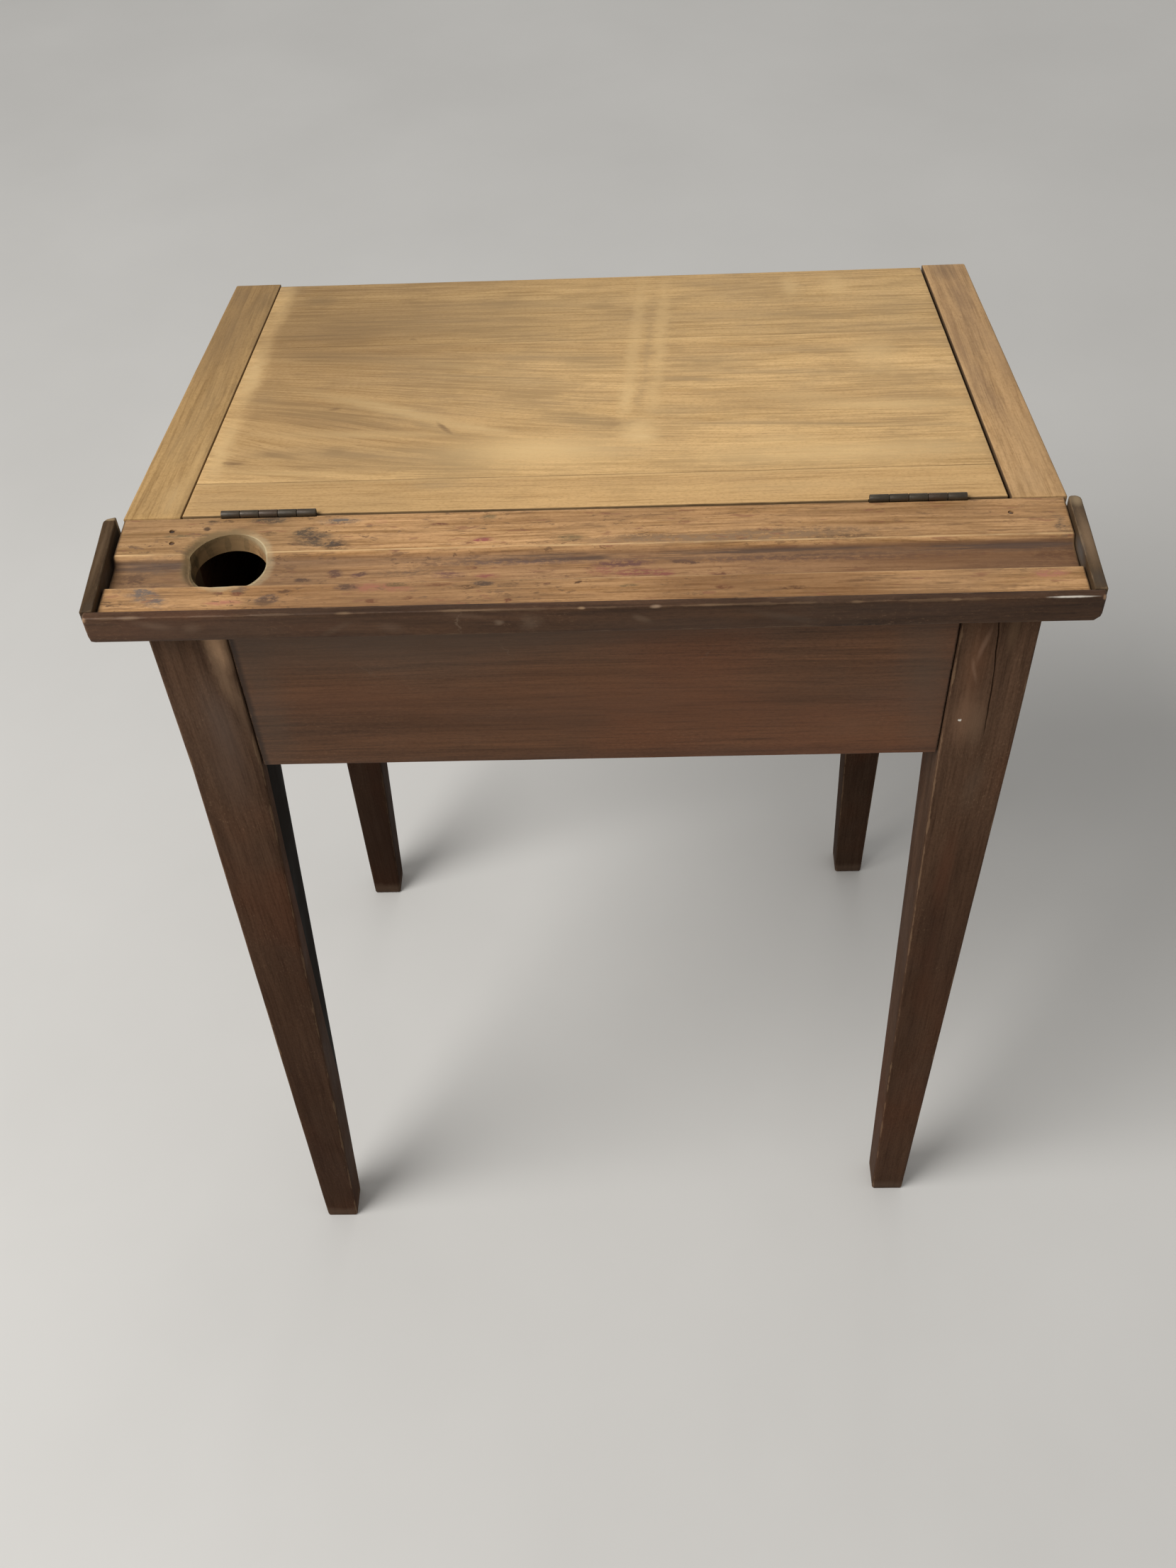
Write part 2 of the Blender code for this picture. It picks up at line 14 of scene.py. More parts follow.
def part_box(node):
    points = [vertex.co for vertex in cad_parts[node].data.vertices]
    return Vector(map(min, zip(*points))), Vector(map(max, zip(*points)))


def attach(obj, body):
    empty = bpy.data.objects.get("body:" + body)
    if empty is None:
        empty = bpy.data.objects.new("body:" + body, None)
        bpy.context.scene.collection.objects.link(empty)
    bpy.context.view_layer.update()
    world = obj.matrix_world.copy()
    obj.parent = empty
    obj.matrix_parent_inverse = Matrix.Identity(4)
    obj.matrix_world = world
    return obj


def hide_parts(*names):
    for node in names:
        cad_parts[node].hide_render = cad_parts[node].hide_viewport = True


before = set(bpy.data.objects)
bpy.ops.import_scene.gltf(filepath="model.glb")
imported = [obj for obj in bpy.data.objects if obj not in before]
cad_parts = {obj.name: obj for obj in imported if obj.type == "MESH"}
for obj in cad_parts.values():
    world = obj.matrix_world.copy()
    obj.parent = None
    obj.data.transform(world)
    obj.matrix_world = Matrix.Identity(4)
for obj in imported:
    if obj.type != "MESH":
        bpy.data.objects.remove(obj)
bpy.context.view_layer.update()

# ------------------------------------------------------------------ dimensions
_lo, _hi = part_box("lip_back")
OX = (_lo.x + _hi.x) / 2
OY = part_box("ledge_board")[0].y + 0.0112
SHIFT = np.array([OX, OY, 0.0])

GAP = 0.0003
T = 0.0125
LEG_X, LEG_Y1, LEG_TOP, LEG_FOOT = 0.2273, 0.3540, 0.0400, 0.0240
Z_APRON = 0.5384
FOOT_SHIFT = {"back_left": (-0.0100, -0.0080), "back_right": (-0.0005, 0.0110),
              "front_left": (-0.0030, -0.0120), "front_right": (-0.0010, 0.0040)}
Z_LEDGE, Y_JOINT = 0.6657, 0.0641
SLOPE = atan2(0.6657 - 0.6088, 0.3761 - 0.0641)
CS, SN = cos(SLOPE), sin(SLOPE)
LEDGE_X, LEDGE_Y0 = (-0.2450, 0.2447), -0.0112
SIDE_XL, SIDE_XR, SIDE_S = (-0.2460, -0.2152), (0.2176, 0.2465), 0.3195
LID_X, LID_S = (-0.2147, 0.2163), (0.0360, 0.2130, 0.3152)
G0, G1, GROOVE_DEPTH = 0.0100, 0.0340, 0.0050
WELL_C, WELL_R, WELL_Z = (-0.1860, 0.0300), 0.0208, 0.6212
LIP_T, END_T, LIP_TOP, LIP_BOTTOM, LIP_BACK_X, LIP_LENGTH = 0.0052, 0.0066, 0.6697, 0.6532, 0.2505, (0.0726, 0.0712)
LIP_SPLAY = radians(2.0)
APRON_T, APRON_INSET_Y, APRON_INSET_X = 0.0180, 0.0015, 0.0030
TENON_T, TENON_X, TENON_Y = 0.0080, 0.0200, 0.0180
FLOOR_Z, FLOOR_T, CLEAT = 0.5560, 0.0070, 0.0120
HINGE_X, HINGE_L, AXIS_Z = (-0.1683, 0.1698), 0.0500, 0.6669
BARREL_R, BORE_R, PIN_R, LEAF_T = 0.0020, 0.0012, 0.0011, 0.0011
LEAF_BOTTOM, SCREW_Z = Z_LEDGE - 0.0115, Z_LEDGE - 0.0064
BATTEN_X, BATTEN_W, BATTEN_T, BATTEN_S = (-0.1500, 0.1500), 0.0300, 0.0120, (0.0200, 0.2620)
BATTEN_SCREWS = (0.0275, 0.0800, 0.1750, 0.2450)
JOINT_GAP = 0.0007
Z_UNDER = Z_LEDGE - T - GAP


def lid_z(y):
    return Z_LEDGE - (y - Y_JOINT) * tan(SLOPE)


def under_z(y):
    """Top of whatever carries the boards at depth y."""
    return np.where(y <= Y_JOINT, Z_UNDER, np.minimum(Z_UNDER, lid_z(y) - T / CS - GAP))


def from_slope(V):
    """(x, s, n) on the slope to (x, y, z)."""
    x, s, n = V[:, 0], V[:, 1], V[:, 2]
    return np.stack([x, Y_JOINT + s * CS + n * SN, Z_LEDGE - s * SN + n * CS], 1)


# ----------------------------------------------------------------------- noise
def lattice(i, j, k, seed):
    h = (i * 73856093) ^ (j * 19349663) ^ (k * 83492791) ^ (seed * 2654435761)
    h = h & 0xFFFFFFFF
    for _ in range(2):
        h = ((h ^ (h >> 16)) * 0x45D9F3B) & 0xFFFFFFFF
    h = h ^ (h >> 16)
    return (h & 0xFFFFFF) / float(0xFFFFFF) * 2 - 1


def noise(p, seed=0):
    """Smooth value noise between -1 and 1 at the rows of p."""
    i = np.floor(p).astype(np.int64)
    f = p - i
    f = f * f * (3 - 2 * f)
    total = 0
    for dx in (0, 1):
        for dy in (0, 1):
            for dz in (0, 1):
                w = (f[:, 0] if dx else 1 - f[:, 0]) * (f[:, 1] if dy else 1 - f[:, 1]) * (f[:, 2] if dz else 1 - f[:, 2])
                total = total + w * lattice(i[:, 0] + dx, i[:, 1] + dy, i[:, 2] + dz, seed)
    return total


def fbm(p, seed=0, octaves=3, gain=0.5):
    total, amp, norm = 0, 1.0, 0
    for o in range(octaves):
        total = total + amp * noise(p * 2 ** o + 17.3 * o, seed + 101 * o)
        norm += amp
        amp *= gain
    return total / norm


def smooth01(x):
    x = np.clip(x, 0, 1)
    return x * x * (3 - 2 * x)


# ------------------------------------------------------------------ mesh tools
def radii(r):
    """Radius of the rounding next to each of the six sides, as three pairs."""
    return np.array(r, float) if np.ndim(r) == 2 else np.full((3, 2), float(r))


def stations(a, b, r, step, extra=()):
    """Grid lines from a to b: a few in each rounded edge, even ones between."""
    ra, rb = r
    n = max(1, int(round((b - a - ra - rb) / step)))
    mid = np.linspace(a + ra, b - rb, n + 1)
    inner = [e for e in extra if a + 1.1 * ra < e < b - 1.1 * rb]
    if len(inner):
        mid = np.concatenate([mid, inner])
        mid = np.unique(np.round(mid, 6))
        keep = [mid[0]]
        for v in mid[1:]:
            if v - keep[-1] > 0.00012:
                keep.append(v)
        mid = np.array(keep)
    k = lambda q: np.array([0.0, 0.586]) if q < 0.0011 else np.array([0.0, 0.423, 0.732])
    return np.concatenate([a + k(ra) * ra, mid, (b - k(rb) * rb)[::-1]])


def grid_box(nx, ny, nz):
    """Index triples and quads of the surface of an nx by ny by nz grid."""
    I, J, K = np.meshgrid(np.arange(nx), np.arange(ny), np.arange(nz), indexing="ij")
    on = (I == 0) | (I == nx - 1) | (J == 0) | (J == ny - 1) | (K == 0) | (K == nz - 1)
    idx = -np.ones((nx, ny, nz), int)
    idx[on] = np.arange(on.sum())
    ijk = np.stack([I[on], J[on], K[on]], 1)
    faces = []
    for a in (idx[:, :, -1], idx[:, :, 0].T, idx[:, 0, :], idx[:, -1, :].T, idx[-1, :, :], idx[0, :, :].T):
        faces.append(np.stack([a[:-1, :-1], a[1:, :-1], a[1:, 1:], a[:-1, 1:]], -1).reshape(-1, 4))
    return ijk, np.concatenate(faces)


def rounded(V, lo, hi, r):
    """Pulls the points of a box's surface onto the same box with rounded edges.
    Returns points, outward directions, the distance to the nearest free edge and
    how soft the edge at each point is, from 0 at a tight joint to 1."""
    r = radii(r)
    ra, rb = r[:, 0], r[:, 1]
    m = np.minimum(V - lo + np.where(ra < 0.0003, 0.02, 0.0), hi - V + np.where(rb < 0.0003, 0.02, 0.0))
    edge = np.sort(m, axis=1)[:, 1]
    inner = np.clip(V, lo + ra, hi - rb)
    d = V - inner
    side = np.where(d > 0, rb, ra)
    u = d / side
    L = np.maximum(np.linalg.norm(u, axis=1, keepdims=True), 1e-9)
    D = u / L
    least = np.where(np.abs(D) > 0.25, side, 1.0).min(1)
    return inner + D * side, D, edge, np.clip(least / r.max(), 0, 1)


def arris(D):
    """1 in the middle of a rounded edge, 0 on the flat."""
    return np.clip((1 - np.abs(D).max(1)) / 0.293, 0, 1.3)


def worn(V, D, seed, wear=0.0005, dent=0.00010, along=(30, 90, 90), soft=1.0):
    """Small dents over the faces and uneven wear along the edges."""
    e = arris(D) * soft
    k = np.array(along, float)
    w = np.clip(fbm(V * k, seed, 3) * 0.9 + 0.35, 0, 1.4) ** 1.6
    V = V - D * (wear * e * w)[:, None]
    V = V - D * (dent * (0.6 + 0.6 * fbm(V * 45.0, seed + 5, 3)))[:, None]
    return V


def build(name, V, faces, edge=None, angle=40.0):
    """A mesh object from points in the measuring frame."""
    mesh = bpy.data.meshes.new(name)
    V = np.asarray(V, float) + SHIFT
    mesh.from_pydata(V.tolist(), [], [tuple(int(i) for i in f) for f in faces])
    if edge is not None:
        at = mesh.attributes.new("edge_mm", "FLOAT", "POINT")
        at.data.foreach_set("value", (np.asarray(edge, float) * 1000).astype(np.float32))
    mesh.validate()
    mesh.update()
    mesh.shade_smooth()
    mesh.set_sharp_from_angle(angle=radians(angle))
    ob = bpy.data.objects.new(name, mesh)
    bpy.context.scene.collection.objects.link(ob)
    return ob


def solid_box(name, x, y, z):
    ijk, faces = grid_box(2, 2, 2)
    V = np.stack([np.array(x)[ijk[:, 0]], np.array(y)[ijk[:, 1]], np.array(z)[ijk[:, 2]]], 1)
    return V, faces


def turned_data(profile, segments, origin, direction, phase=0.5):
    """Points and faces of a round piece: profile holds (distance along, radius), closed on the axis at both ends."""
    d = Vector(direction).normalized()
    side = Vector((1, 0, 0)) if abs(d.x) < 0.9 else Vector((0, 1, 0))
    u = d.cross(side).normalized()
    v = d.cross(u)
    o = Vector(origin)
    verts, rings, faces = [], [], []
    for along, radius in profile:
        if radius < 1e-9:
            rings.append([len(verts)])
            verts.append(tuple(o + d * along))
        else:
            ring = []
            for k in range(segments):
                a = 2 * pi * (k + phase) / segments
                ring.append(len(verts))
                verts.append(tuple(o + d * along + (u * cos(a) + v * sin(a)) * radius))
            rings.append(ring)
    for r0, r1 in zip(rings, rings[1:]):
        for k in range(segments):
            k2 = (k + 1) % segments
            if len(r0) == 1:
                faces.append((r0[0], r1[k2], r1[k]))
            elif len(r1) == 1:
                faces.append((r0[k], r0[k2], r1[0]))
            else:
                faces.append((r0[k], r0[k2], r1[k2], r1[k]))
    return np.array(verts), faces


def prism_data(poly, axis, a, b):
    n = len(poly)
    put = {"X": lambda p, t: (t, p[0], p[1]), "Y": lambda p, t: (p[0], t, p[1]), "Z": lambda p, t: (p[0], p[1], t)}[axis]
    verts = [put(p, a) for p in poly] + [put(p, b) for p in poly]
    faces = [tuple(range(n)), tuple(range(2 * n - 1, n - 1, -1))] + [(i, n + i, n + (i + 1) % n, (i + 1) % n) for i in range(n)]
    return np.array(verts), faces


def outward(ob):
    """Makes the faces of a closed mesh point outwards."""
    import bmesh
    bm = bmesh.new()
    bm.from_mesh(ob.data)
    bmesh.ops.recalc_face_normals(bm, faces=bm.faces)
    if bm.calc_volume(signed=True) < 0:
        bmesh.ops.reverse_faces(bm, faces=bm.faces)
    bm.to_mesh(ob.data)
    bm.free()
    return ob


def cutter(name, *parts):
    """One cutter from several separate closed shells."""
    verts, faces, base = [], [], 0
    for V, F in parts:
        verts.append(np.asarray(V, float))
        faces += [tuple(int(i) + base for i in f) for f in F]
        base += len(V)
    return outward(build(name, np.concatenate(verts), faces))


def carve(ob, *tools, operation="DIFFERENCE", angle=40.0):
    """Applies boolean operations and drops the tools."""
    for t in tools:
        mod = ob.modifiers.new("carve", "BOOLEAN")
        mod.operation = operation
        mod.solver = "EXACT"
        mod.object = t
    dg = bpy.context.evaluated_depsgraph_get()
    mesh = bpy.data.meshes.new_from_object(ob.evaluated_get(dg))
    ob.modifiers.clear()
    old = ob.data
    ob.data = mesh
    bpy.data.meshes.remove(old)
    mesh.name = ob.name
    for t in tools:
        m = t.data
        bpy.data.objects.remove(t)
        bpy.data.meshes.remove(m)
    mesh.shade_smooth()
    mesh.set_sharp_from_angle(angle=radians(angle))
    return ob


def bevelled(ob, width, segments=2, angle=35.0):
    """Applies a small bevel on the sharp edges."""
    mod = ob.modifiers.new("edges", "BEVEL")
    mod.width = width
    mod.segments = segments
    mod.limit_method = "ANGLE"
    mod.angle_limit = radians(angle)
    mod.use_clamp_overlap = True
    dg = bpy.context.evaluated_depsgraph_get()
    mesh = bpy.data.meshes.new_from_object(ob.evaluated_get(dg))
    ob.modifiers.clear()
    old = ob.data
    ob.data = mesh
    bpy.data.meshes.remove(old)
    mesh.name = ob.name
    mesh.shade_smooth()
    mesh.set_sharp_from_angle(angle=radians(50))
    return ob


def block(name, X, Y, Z, r, step, seed, shape=None, wear=0.0005, dent=0.00010, extra=((), (), ()), along=(30, 90, 90), before=None):
    """A sawn and rounded board. shape maps box coordinates to the measuring frame."""
    r = radii(r)
    xs = stations(*X, r[0], step[0], extra[0])
    ys = stations(*Y, r[1], step[1], extra[1])
    zs = stations(*Z, r[2], step[2], extra[2])
    ijk, faces = grid_box(len(xs), len(ys), len(zs))
    V = np.stack([xs[ijk[:, 0]], ys[ijk[:, 1]], zs[ijk[:, 2]]], 1)
    lo, hi = np.array([X[0], Y[0], Z[0]]), np.array([X[1], Y[1], Z[1]])
    V, D, edge, soft = rounded(V, lo, hi, r)
    V = worn(V, D, seed, wear, dent, along, soft)
    if before:
        V, edge = before(V, D, edge)
    if shape:
        V = shape(V)
    return build(name, V, faces, edge)


# ------------------------------------------------------------------- materials
class Mat:
    """Small helper to write a node material."""

    def __init__(self, name):
        self.mat = bpy.data.materials.new(name)
        self.mat.use_nodes = True
        self.t = self.mat.node_tree
        self.bsdf = self.t.nodes["Principled BSDF"]

    def put(self, socket, value):
        if isinstance(value, bpy.types.NodeSocket):
            self.t.links.new(value, socket)
        elif value is not None:
            if socket.type == "RGBA" and len(value) == 3:
                value = (*value, 1.0)
            socket.default_value = value

    def node(self, kind, **props):
        n = self.t.nodes.new(kind)
        for k, v in props.items():
            setattr(n, k, v)
        return n

    def math(self, op, a, b=None, c=None, clamp=False):
        n = self.node("ShaderNodeMath", operation=op, use_clamp=clamp)
        for s, v in zip(n.inputs, (a, b, c)):
            self.put(s, v)
        return n.outputs[0]

    def vec(self, op, a, b=None, scale=None):
        n = self.node("ShaderNodeVectorMath", operation=op)
        self.put(n.inputs[0], a)
        if b is not None:
            self.put(n.inputs[1], b)
        if scale is not None:
            self.put(n.inputs["Scale"], scale)
        return n.outputs["Value"] if op in ("LENGTH", "DISTANCE", "DOT_PRODUCT") else n.outputs["Vector"]

    def split(self, v):
        n = self.node("ShaderNodeSeparateXYZ")
        self.put(n.inputs[0], v)
        return n.outputs

    def join(self, x, y, z):
        n = self.node("ShaderNodeCombineXYZ")
        for s, v in zip(n.inputs, (x, y, z)):
            self.put(s, v)
        return n.outputs[0]

    def noise(self, v, k=(1, 1, 1), detail=3.0, rough=0.55, off=0.0, distortion=0.0):
        s = self.vec("MULTIPLY_ADD", v, tuple(float(a) for a in k))
        self.t.nodes[-1].inputs[2].default_value = (off * 3.7, off * 5.3 + 11.0, off * 7.1)
        n = self.node("ShaderNodeTexNoise")
        self.put(n.inputs["Vector"], s)
        n.inputs["Scale"].default_value = 1.0
        n.inputs["Detail"].default_value = detail
        n.inputs["Roughness"].default_value = rough
        n.inputs["Distortion"].default_value = distortion
        return n.outputs["Fac"]

    def wobble(self, v, k, detail, rough, off, scale):
        """Uneven shift that roughens the outline of spots."""
        a = self.math("MULTIPLY", self.math("SUBTRACT", self.noise(v, k, detail, rough, off), 0.5), scale)
        b = self.math("MULTIPLY", self.math("SUBTRACT", self.noise(v, k, detail, rough, off + 1.37), 0.5), scale)
        return self.join(a, b, self.math("SUBTRACT", a, b))

    def remap(self, x, a, b, lo=0.0, hi=1.0, smooth=True):
        n = self.node("ShaderNodeMapRange", interpolation_type="SMOOTHSTEP" if smooth else "LINEAR")
        n.clamp = True
        self.put(n.inputs["Value"], x)
        for k, v in (("From Min", a), ("From Max", b), ("To Min", lo), ("To Max", hi)):
            n.inputs[k].default_value = v
        return n.outputs["Result"]

    def mix(self, f, a, b, blend="MIX"):
        n = self.node("ShaderNodeMix", data_type="RGBA", blend_type=blend)
        n.clamp_factor = True
        self.put(n.inputs["Factor"], f)
        self.put(n.inputs[6], a)
        self.put(n.inputs[7], b)
        return n.outputs[2]

    def ramp(self, x, stops):
        n = self.node("ShaderNodeValToRGB")
        self.put(n.inputs[0], x)
        e = n.color_ramp.elements
        while len(e) < len(stops):
            e.new(0.5)
        for el, (p, c) in zip(e, stops):
            el.position = p
            el.color = (*c, 1.0)
        return n.outputs[0]

    def attr(self, name):
        n = self.node("ShaderNodeAttribute", attribute_name=name)
        return n.outputs["Fac"]

    def coords(self, kind="flat", origin=(0, 0, 0), grain="X"):
        """Object coordinates in the measuring frame, the first one along the grain."""
        tc = self.node("ShaderNodeTexCoord").outputs["Object"]
        base = (OX + origin[0], OY + origin[1], origin[2])
        v = self.vec("SUBTRACT", tc, base)
        if kind == "slope":
            n = self.node("ShaderNodeVectorRotate", rotation_type="X_AXIS")
            self.put(n.inputs["Vector"], v)
            n.inputs["Angle"].default_value = SLOPE
            v = n.outputs[0]
        if grain == "X":
            return v
        x, y, z = self.split(v)
        return self.join(y, x, z) if grain == "Y" else self.join(z, x, y)

    def ellipses(self, color, v, wobble, marks, mod=None):
        """Soft spots: (u, v, ru, rv, angle, softness, colour, strength), in millimetres and degrees."""
        groups = {}
        for mark in marks:
            groups.setdefault(tuple(mark[6]), []).append(mark)
        fine = self.vec("MULTIPLY_ADD", wobble, (0.0026, 0.0011, 0.0))
        self.put(self.t.nodes[-1].inputs[2], v)
        broad = self.vec("MULTIPLY_ADD", wobble, (0.0100, 0.0034, 0.0))
        self.put(self.t.nodes[-1].inputs[2], v)
        for c, spots in groups.items():         # one mask for each colour
            total = None
            for u, w, ru, rw, ang, soft, _, strength in spots:
                m = self.spot(broad if rw > 3.5 else fine, (u, w, 0), (ru, rw, 10000.0), ang, soft, strength)
                total = m if total is None else self.math("MAXIMUM", total, m)
            if mod is not None:
                total = self.math("MULTIPLY", total, mod)
            color = self.mix(total, color, c)
        return color

    def spot(self, v, centre, rad, ang, soft, strength):
        """Mask of one soft ellipse or ellipsoid, in millimetres and degrees."""
        n = self.node("ShaderNodeTexGradient", gradient_type="SPHERICAL")
        self.put(n.inputs["Vector"], v)
        size = 1.0 + 0.6 * soft
        n.texture_mapping.vector_type = "TEXTURE"
        n.texture_mapping.translation = tuple(a / 1000 for a in centre)
        n.texture_mapping.rotation = (0, 0, radians(ang))
        n.texture_mapping.scale = tuple(a / 1000 * size for a in rad)
        return self.remap(n.outputs["Fac"], 1.0 - (1.0 - soft) / size, 0.0, strength, 0.0)

    def balls(self, color, v, wobble, marks):
        """Soft spots in space: (centre, radii, softness, colour, strength), in millimetres."""
        fine = self.vec("MULTIPLY_ADD", wobble, (0.0014, 0.0008, 0.0008))
        self.put(self.t.nodes[-1].inputs[2], v)
        for centre, rad, soft, c, strength in marks:
            color = self.mix(self.spot(fine, centre, rad, 0, soft, strength), color, c)
        return color

    def well_radius(self, v):
        """Distance from the axis of the inkwell hole; v is (x, y, z)."""
        n = self.node("ShaderNodeMapping", vector_type="TEXTURE")
        self.put(n.inputs["Vector"], v)
        n.inputs["Location"].default_value = (WELL_C[0], WELL_C[1], 0)
        n.inputs["Scale"].default_value = (1, 1, 1e4)
        return self.vec("LENGTH", n.outputs[0])

    def bump(self, height, strength, distance, normal=None):
        n = self.node("ShaderNodeBump")
        n.inputs["Strength"].default_value = strength
        n.inputs["Distance"].default_value = distance
        self.put(n.inputs["Height"], height)
        if normal is not None:
            self.put(n.inputs["Normal"], normal)
        return n.outputs[0]

    def finish(self, color, rough, normal=None, metallic=0.0, specular=0.4, coat=0.0):
        b = self.bsdf.inputs
        self.put(b["Base Color"], color)
        self.put(b["Roughness"], rough)
        b["Metallic"].default_value = metallic
        b["Specular IOR Level"].default_value = specular
        b["Coat Weight"].default_value = coat
        if normal is not None:
            self.put(b["Normal"], normal)
        return self.mat


def mixc(a, b, t):
    return tuple(x + (y - x) * t for x, y in zip(a, b))


def scaled(c, k):
    return tuple(min(1.0, x * k) for x in c)


LIGHT, TAN, BROWN, GREY = (0.670, 0.452, 0.210), (0.560, 0.368, 0.165), (0.380, 0.232, 0.098), (0.350, 0.245, 0.135)


def sanded(name, kind="slope", origin=None, seed=0.0, tint=(1, 1, 1), dark=1.0, grain="X", bend=False, marks=(), streak=(5, 75, 75),
           contrast=1.0, grey=0.5, flecks=0.35, smudge=0.30, pale=0.30, extra=None, shade=None, fibre=1.0, mottle=0.0):
    """Bare wood, sanded back: pale and tan streaks, dirt rubbed into the fibres, pores, worn arrises."""
    m = Mat(name)
    if origin is None:
        origin = (0, Y_JOINT, Z_LEDGE) if kind == "slope" else (0, 0, Z_LEDGE)
    P = m.coords(kind, origin, grain)
    px, ps, pn = m.split(P)
    w = m.math("SUBTRACT", m.noise(P, (3.2, 13, 13), 2.0, 0.5, seed + 1), 0.5)
    s2 = m.math("MULTIPLY_ADD", w, 0.014, ps)
    if bend:
        # the figure runs down across the middle board at its left end
        h = m.math("MULTIPLY", m.math("SUBTRACT", m.math("SQRT", m.math("MULTIPLY_ADD", px, px, 0.0049)), px), 0.5)
        g = m.math("POWER", 2.71828, m.math("MULTIPLY", m.math("POWER", m.math("ABSOLUTE", m.math("MULTIPLY", m.math("SUBTRACT", ps, 0.125), 12.5)), 2.0), -1.0))
        s2 = m.math("SUBTRACT", s2, m.math("MULTIPLY", m.math("MULTIPLY", h, g), 0.25))
    Q = m.join(px, s2, pn)
    A = m.noise(Q, streak, 6.0, 0.62, seed + 2)
    B = m.noise(Q, (streak[0] * 0.3, streak[1] * 0.22, streak[2] * 0.22), 3.0, 0.5, seed + 3)
    A2 = m.noise(Q, (9, 240, 240), 4.0, 0.66, seed + 12)
    C = m.noise(Q, (22, 620, 620), 3.0, 0.68, seed + 4)
    F = m.noise(Q, (130, 1500, 1500), 2.0, 0.6, seed + 5)
    # growth rings round a pith that lies below the board
    ry = m.math("SUBTRACT", s2, 0.13 + 0.01 * (seed % 3))
    rz = m.math("ADD", pn, 0.060)
    R = m.math("SQRT", m.math("ADD", m.math("POWER", m.math("ABSOLUTE", ry), 2.0), m.math("POWER", m.math("ABSOLUTE", rz), 2.0)))
    R = m.math("MULTIPLY_ADD", w, 0.010, R)
    ring = m.math("MULTIPLY_ADD", m.math("SINE", m.math("MULTIPLY", R, 2 * pi / 0.0042)), 0.5, 0.5)
    mixv = m.math("MULTIPLY_ADD", B, 0.55, m.math("MULTIPLY", A, 0.55))
    mixv = m.math("MULTIPLY_ADD", ring, 0.030, mixv)
    c = 0.5 + 0.05
    lo, hi = c - 0.17 / contrast, c + 0.15 / contrast
    t = m.remap(mixv, lo, hi, 0.0, 1.0, False)
    cd, ct, cl = (scaled(tuple(a * b for a, b in zip(col, tint)), dark) for col in (mixc(BROWN, TAN, 0.62), mixc(TAN, LIGHT, 0.35), LIGHT))
    color = m.ramp(t, [(0.0, cd), (0.38, mixc(cd, ct, 0.8)), (0.62, ct), (1.0, cl)])
    # fibres at two scales and a fine speckle
    for f, lo_c, hi_c in ((A2, (0.84, 0.81, 0.76), (1.05, 1.05, 1.06)), (C, (0.76, 0.73, 0.68), (1.07, 1.07, 1.09))):
        lo_c, hi_c = (tuple(1 + (a - 1) * fibre for a in q) for q in (lo_c, hi_c))
        color = m.mix(1.0, color, m.ramp(f, [(0.34, lo_c), (0.5, (1, 1, 1)), (0.68, tuple(min(1.0, a) if fibre < 1 else a for a in hi_c))]), "MULTIPLY")
    S = m.noise(P, (420, 760, 760), 2.0, 0.65, seed + 13)
    color = m.mix(1.0, color, m.ramp(S, [(0.32, (0.86, 0.85, 0.82)), (0.50, (1, 1, 1)), (0.68, (1.05, 1.05, 1.06))]), "MULTIPLY")
    # dirt rubbed into the fibres, in soft clouds
    fib = m.remap(m.math("MULTIPLY_ADD", C, 0.5, m.math("MULTIPLY", A2, 0.5)), 0.62, 0.36, 0.35, 1.3)
    cloud = m.math("MULTIPLY", m.remap(m.noise(P, (8, 15, 15), 5.0, 0.66, seed + 6), 0.47, 0.70), fib)
    color = m.mix(m.math("MULTIPLY", cloud, grey), color, scaled(tuple(a * b for a, b in zip(GREY, tint)), dark))
    cloud2 = m.math("MULTIPLY", m.remap(m.noise(P, (22, 36, 36), 5.0, 0.70, seed + 14), 0.45, 0.64), fib)
    color = m.mix(m.math("MULTIPLY", cloud2, smudge), color, scaled(tuple(a * b for a, b in zip((0.400, 0.262, 0.120), tint)), dark))
    # pores and small dark flecks
    fl = m.math("MULTIPLY", m.remap(F, 0.645, 0.72), m.remap(m.noise(P, (25, 60, 60), 2.0, 0.5, seed + 7), 0.42, 0.62))
    color = m.mix(m.math("MULTIPLY", fl, flecks), color, (0.17, 0.095, 0.05))
    wob = m.wobble(P, (110, 240, 240), 4.0, 0.72, seed + 8, 1.6)
    if marks:
        mod = m.remap(m.math("MULTIPLY_ADD", C, 0.4, m.math("MULTIPLY", A2, 0.6)), 0.36, 0.62, 1.25, 0.55)
        mod = m.math("MULTIPLY", mod, m.remap(pn, -0.0098, -0.0075))        # not on the underside
        if mottle:
            mod = m.math("MULTIPLY", mod, m.remap(m.noise(P, (260, 520, 520), 3.0, 0.72, seed + 15), 0.38, 0.58, 1.0 - mottle, 1.0 + 0.70 * mottle))
        color = m.ellipses(color, P, wob, marks, mod)
    if extra:
        color = extra(m, color, P, wob, A, C)
    # worn arris, a little paler
    e = m.attr("edge_mm")
    en = m.math("MULTIPLY", m.remap(e, 1.6, 0.4), m.remap(m.noise(P, (60, 160, 160), 2.0, 0.5, seed + 9), 0.35, 0.6, 0.25, 1.0))
    color = m.mix(m.math("MULTIPLY", en, pale), color, scaled(cl, 1.05))
    if shade:
        color = shade(m, color, P)
    rough = m.remap(A, 0.3, 0.7, 0.62, 0.76)
    hgt = m.math("ADD", m.math("MULTIPLY", C, 0.5), m.math("MULTIPLY", F, 0.35))
    nrm = m.bump(hgt, 0.40, 0.00022)
    return m.finish(color, rough, nrm, specular=0.22)


